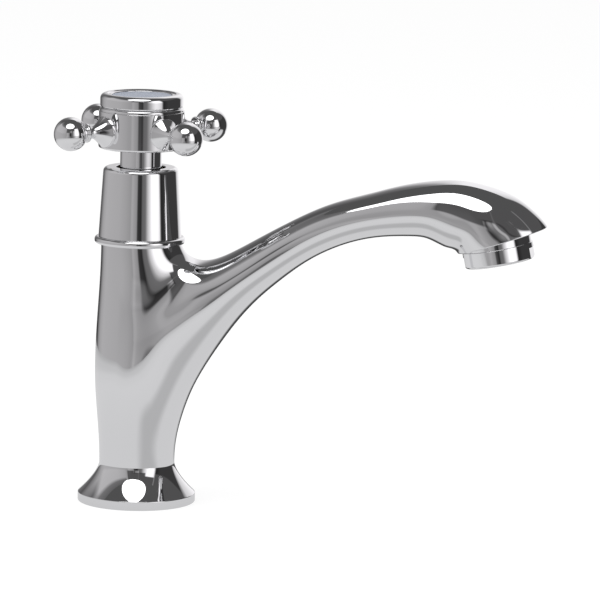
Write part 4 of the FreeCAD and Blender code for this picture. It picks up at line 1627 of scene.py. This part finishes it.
def add_panel(name, points, cells, glow):
    """Stage panel that only reflections see, with a glow at each point."""
    mesh = bpy.data.meshes.new(name)
    mesh.from_pydata(points.tolist(), [], cells.tolist())
    colours = mesh.color_attributes.new("glow", "FLOAT_COLOR", "POINT")
    colours.data.foreach_set("color", np.append(glow, np.ones((len(glow), 1)), axis=1).ravel())
    mesh.materials.append(panel_glow)
    panel = add_object(name, mesh)
    panel.visible_camera = False
    panel.visible_diffuse = False
    panel.visible_shadow = False
    panel.visible_transmission = False


panel_glow = glow_material("panel_glow")
print("glow material:", panel_glow.name)

# %% [markdown]
# ## Wall
#
# The wall's brightness by direction makes the upright bands on the pillar, and its
# change with height makes those on the spout: a white window, grey cloth and dark
# flags between them. Their places and levels were set by comparing renders with the
# photo.

# %% Wall
wall_radius = 2.0
wall_low = -0.9
wall_high = 3.0
wall_columns = 720
wall_rows = 79

# Brightness of the wall by the direction from the camera's side, in degrees to
# its right: a white window, grey cloth and dark flags between them.
dark = 0.045
wall_glow = [
    (-180, 0.75), (-172, 0.36), (-166, 0.2), (-150, 0.1), (-142, 0.22), (-128, 0.40),
    (-112, 0.47), (-60, 0.44), (-40, 0.39), (-24, 0.33), (-17, 0.19), (-8, 0.15), (-5, 0.04),
    (4, 0.025), (8, 0.14), (16, 0.165), (21, 0.27), (27, 0.39), (33, 0.58), (40, 0.74),
    (45, 0.74), (52, 0.66), (58, 0.55), (61, 0.30), (64, 0.02), (80, dark), (134, dark),
    (142, 0.7), (160, 1.0), (172, 1.0), (180, 0.75),
]
wall_tint = np.array([1.0, 0.985, 1.0])

# How the wall's brightness changes with height: (directions, share of the change
# there, heights, factor at those heights).
wall_shading = [
    ([16, 24, 58, 62], [0, 1, 1, 0], [-0.15, 0.05, 1.65, 1.85], [1.0, 1.9, 1.9, 0.08]),
    ([8, 12, 28, 32], [0, 1, 1, 0], [1.05, 1.2], [1.0, 0.15]),
    ([-26, -17, -9, -5], [0, 1, 1, 0], [-0.35, -0.20, 0.0, 0.10], [1.0, 1.6, 2.0, 2.0]),
    ([-29, -26, -4, 0], [0, 1, 1, 0], [0.58, 0.72, 3.0], [1.0, 0.26, 0.2]),
    ([-9, -3, 3, 9], [0, 1, 1, 0], [0.5, 0.9, 1.05, 1.2], [1.0, 10, 10, 1.0]),
    ([-125, -115, -34, -30], [0, 1, 1, 0],
     [0.3, 0.6, 1.9, 2.3, 2.9], [1.0, 1.15, 1.1, 0.4, 0.3]),
    ([-150, -142, -125, -115], [0, 1, 1, 0], [0.9, 1.6, 2.0], [1.0, 0.35, 0.3]),
    ([-180, -150, -140], [1, 1, 0], [-0.30, -0.10], [0.12, 1.0]),
]
# A low light grey strip left of the camera, in the same form but added, and the
# least glow by height.
low_strip = ([-32, -22, 0, 6], [0, 1, 1, 0], [-0.30, -0.20, -0.06], [0.12, 0.09, 0.0])
least_glow = ([1.1, 1.3], [0.0, 0.09])


def wall_panel():
    """Round wall: x = R cos a, y = R sin a, z = h, its glow a function of a and h."""
    beta = np.linspace(-180, 180, wall_columns, endpoint=False)
    angle = np.radians(beta) + camera_azimuth - math.pi / 2
    heights = np.linspace(wall_low, wall_high, wall_rows)
    points = np.stack([
        np.tile(wall_radius * np.cos(angle), wall_rows),
        np.tile(wall_radius * np.sin(angle), wall_rows),
        np.repeat(heights, wall_columns),
    ], axis=1)
    cells = grid_cells(np.arange(wall_rows * wall_columns).reshape(wall_rows, wall_columns))
    glow = np.tile(np.interp(beta, *zip(*wall_glow)), (wall_rows, 1))
    for directions, share, levels, gain in wall_shading:
        weight = np.interp(beta, directions, share)
        glow = glow * (1 + (np.interp(heights, levels, gain)[:, None] - 1) * weight)
    directions, share, levels, added = low_strip
    strip = np.interp(heights, levels, added)[:, None] * np.interp(beta, directions, share)
    glow = np.maximum(glow + strip, np.interp(heights, *least_glow)[:, None])
    add_panel("wall", points, cells, glow.ravel()[:, None] * wall_tint)


wall_panel()
print("wall:", wall_columns * (wall_rows - 1), "faces")

# %% [markdown]
# ## Ceiling and softbox
#
# One oval softbox over the tap gives the long white spot on the spout and the round
# ones on the balls. The ceiling above it is dark, so that the tops of all the round
# forms go dark as in the photo.

# %% Ceiling and softbox
oval_corners = 96


def oval_panel(name, centre, long_way, wide_way, glow):
    """Flat oval: centre + long cos t + wide sin t, as one face."""
    angle = np.linspace(0, 2 * math.pi, oval_corners, endpoint=False)[:, None]
    points = centre + np.cos(angle) * long_way + np.sin(angle) * wide_way
    cells = np.arange(len(points))[None, ::-1]
    add_panel(name, points, cells, np.full((len(points), 3), glow))


ceiling_radius, ceiling_glow = 2.1, 0.09
softbox_centre = np.array([0.0, -0.27, 0.60])
softbox_tilt = math.radians(28)
softbox_way = math.cos(softbox_tilt) * flat_back + math.sin(softbox_tilt) * straight_up
softbox_half_length, softbox_half_width, softbox_glow = 0.24, 0.18, 2.2

oval_panel("ceiling", wall_high * straight_up,
           ceiling_radius * flat_right, ceiling_radius * flat_back, ceiling_glow)
oval_panel("softbox", softbox_centre,
           softbox_half_length * flat_right, softbox_half_width * softbox_way, softbox_glow)
print("softbox centre:", softbox_centre)

# %% [markdown]
# ## Floor
#
# The photo's floor is white to the camera, with a faint shadow, while the chrome
# shows a pale table that ends. One material does both: it asks with Light Path
# whether a camera or a mirror is looking.

# %% Floor
def floor_way(tree, direction):
    """Distance along a level direction."""
    along = add_node(tree, "ShaderNodeVectorMath", {0: object_place(tree)},
                     operation="DOT_PRODUCT")
    along.inputs[1].default_value = direction
    return along.outputs["Value"]


def soft_step(tree, value, start, end):
    """Zero before start, one past end, smooth between."""
    ramp = add_node(tree, "ShaderNodeMapRange", {"Value": value},
                    interpolation_type="SMOOTHSTEP", From_Min=start, From_Max=end)
    return ramp.outputs["Result"]


def less_by(tree, share, amount):
    """One less an amount of a share."""
    return math_node(tree, "SUBTRACT", 1.0, math_node(tree, "MULTIPLY", share, amount))


def mixed_shader(tree, share, first, second):
    """First shader where the share is zero, second where it is one."""
    return add_node(tree, "ShaderNodeMixShader", {0: share, 1: first, 2: second}).outputs[0]


table_radius = 0.40         # reflections see the floor out to here, and the wall beyond
# Tone of the table by its distance from the pillar, as a share of its radius.
table_tone = [
    (0.0, 0.62), (0.12, 0.68), (0.50, 0.71), (0.65, 0.69), (0.85, 0.60), (1.0, 0.48),
]
table_tint = 1.01           # blue against red and green
streak_near, streak_far = (-0.125, -0.085), (-0.03, -0.06)
streak_depth = 0.27
shade_far, shade_depth = (0.06, 0.11), 0.9
aside_edge = (0.0, 0.03)    # the streak and the shade lie to the pillar's right
camera_floor_albedo, camera_floor_glow, plain_floor_albedo = 0.22, 0.84, 0.8


def table_strength(tree):
    """Table's brightness: a darker streak in front and a deep shade behind."""
    ahead, aside = floor_way(tree, flat_back), floor_way(tree, flat_right)
    right = soft_step(tree, aside, *aside_edge)
    streak = math_node(tree, "MULTIPLY", soft_step(tree, ahead, *streak_near),
                       soft_step(tree, ahead, *streak_far))
    streak = math_node(tree, "MULTIPLY", streak, right)
    behind = math_node(tree, "MULTIPLY", soft_step(tree, ahead, *shade_far), right)
    return math_node(tree, "MULTIPLY", less_by(tree, streak, streak_depth),
                     less_by(tree, behind, shade_depth))


def floor_material():
    """White to the camera with a faint shadow; in reflections a pale round table."""
    material, tree = blank_material("floor")
    path = add_node(tree, "ShaderNodeLightPath")
    lit = add_node(
        tree, "ShaderNodeEmission", Color=(1, 1, 1, 1), Strength=camera_floor_glow)
    matt = [
        add_node(tree, "ShaderNodeBsdfDiffuse", Color=(albedo, albedo, albedo, 1)).outputs[0]
        for albedo in (camera_floor_albedo, plain_floor_albedo)]
    seen = add_node(tree, "ShaderNodeAddShader", {0: matt[0], 1: lit.outputs[0]})

    distance = add_node(
        tree, "ShaderNodeVectorMath", {0: object_place(tree)}, operation="LENGTH")
    share = math_node(tree, "DIVIDE", distance.outputs["Value"], table_radius)
    tone = add_node(tree, "ShaderNodeValToRGB", {"Fac": share})
    tone.color_ramp.interpolation = "EASE"
    while len(tone.color_ramp.elements) < len(table_tone):
        tone.color_ramp.elements.new(0.5)
    for element, (place, level) in zip(tone.color_ramp.elements, table_tone):
        element.position = place
        element.color = (level, level, table_tint * level, 1)
    mirrored = add_node(tree, "ShaderNodeEmission", {
        "Color": tone.outputs["Color"], "Strength": table_strength(tree)})
    through = add_node(tree, "ShaderNodeBsdfTransparent")
    past_table = math_node(tree, "GREATER_THAN", share, 1.0)
    table = mixed_shader(tree, past_table, mirrored.outputs[0], through.outputs[0])

    for_camera = mixed_shader(
        tree, path.outputs["Is Camera Ray"], matt[1], seen.outputs[0])
    for_metal = mixed_shader(tree, path.outputs["Is Glossy Ray"], for_camera, table)
    add_node(tree, "ShaderNodeOutputMaterial", {"Surface": for_metal})
    return material


floor_half = 6.0
floor_mesh = bpy.data.meshes.new("floor")
floor_corners = [
    (floor_half * x, floor_half * y, 0) for x, y in ((-1, -1), (1, -1), (1, 1), (-1, 1))]
floor_mesh.from_pydata(floor_corners, [], [(0, 1, 2, 3)])
floor_mesh.materials.append(floor_material())
floor = add_object("floor", floor_mesh)
print("floor:", floor.name, 2 * floor_half, "m wide")

# %% [markdown]
# ## Lamps
#
# Two soft lamps light the few pieces that aren't metal and cast the faint shadow.
# The chrome doesn't show them, since the panels are its room.

# %% Lamps
def add_lamp(name, place, target, size, power):
    """Square soft lamp that reflections don't show."""
    data = bpy.data.lights.new(name, "AREA")
    data.size = size
    data.energy = power
    lamp = add_object(name, data)
    lamp.location = place
    lamp.rotation_euler = (Vector(place) - Vector(target)).to_track_quat("Z", "Y").to_euler()
    lamp.visible_glossy = False


lamp_target = (0.06, 0, 0.08)
add_lamp("top_lamp", (0.1, -0.2, 1.6), lamp_target, 1.2, 12)
add_lamp("side_lamp", (-1.2, -1.0, 1.2), lamp_target, 1.0, 6)
print("lamps:", len(bpy.data.lights))

# %% [markdown]
# ## World
#
# The background is pure white where it is seen, directly or in metal and glass, and
# lights the object at little more than half of that.

# %% World
def seen_directly(tree):
    """One for camera, glossy and transmission rays, else zero."""
    path = add_node(tree, "ShaderNodeLightPath")
    seen = math_node(
        tree, "MAXIMUM", path.outputs["Is Camera Ray"], path.outputs["Is Glossy Ray"])
    return math_node(tree, "MAXIMUM", seen, path.outputs["Is Transmission Ray"])


world_light, world_white = 0.55, 1.0
world = bpy.data.worlds.new("studio")
bpy.context.scene.world = world
world.use_nodes = True
world_tree = world.node_tree
background = world_tree.nodes["Background"]
background.inputs["Color"].default_value = (1, 1, 1, 1)
feed(world_tree, background, {"Strength": math_node(
    world_tree, "MULTIPLY_ADD", seen_directly(world_tree), world_white - world_light,
    world_light)})
bpy.context.scene.view_settings.view_transform = "Standard"
print("world light:", world_light)
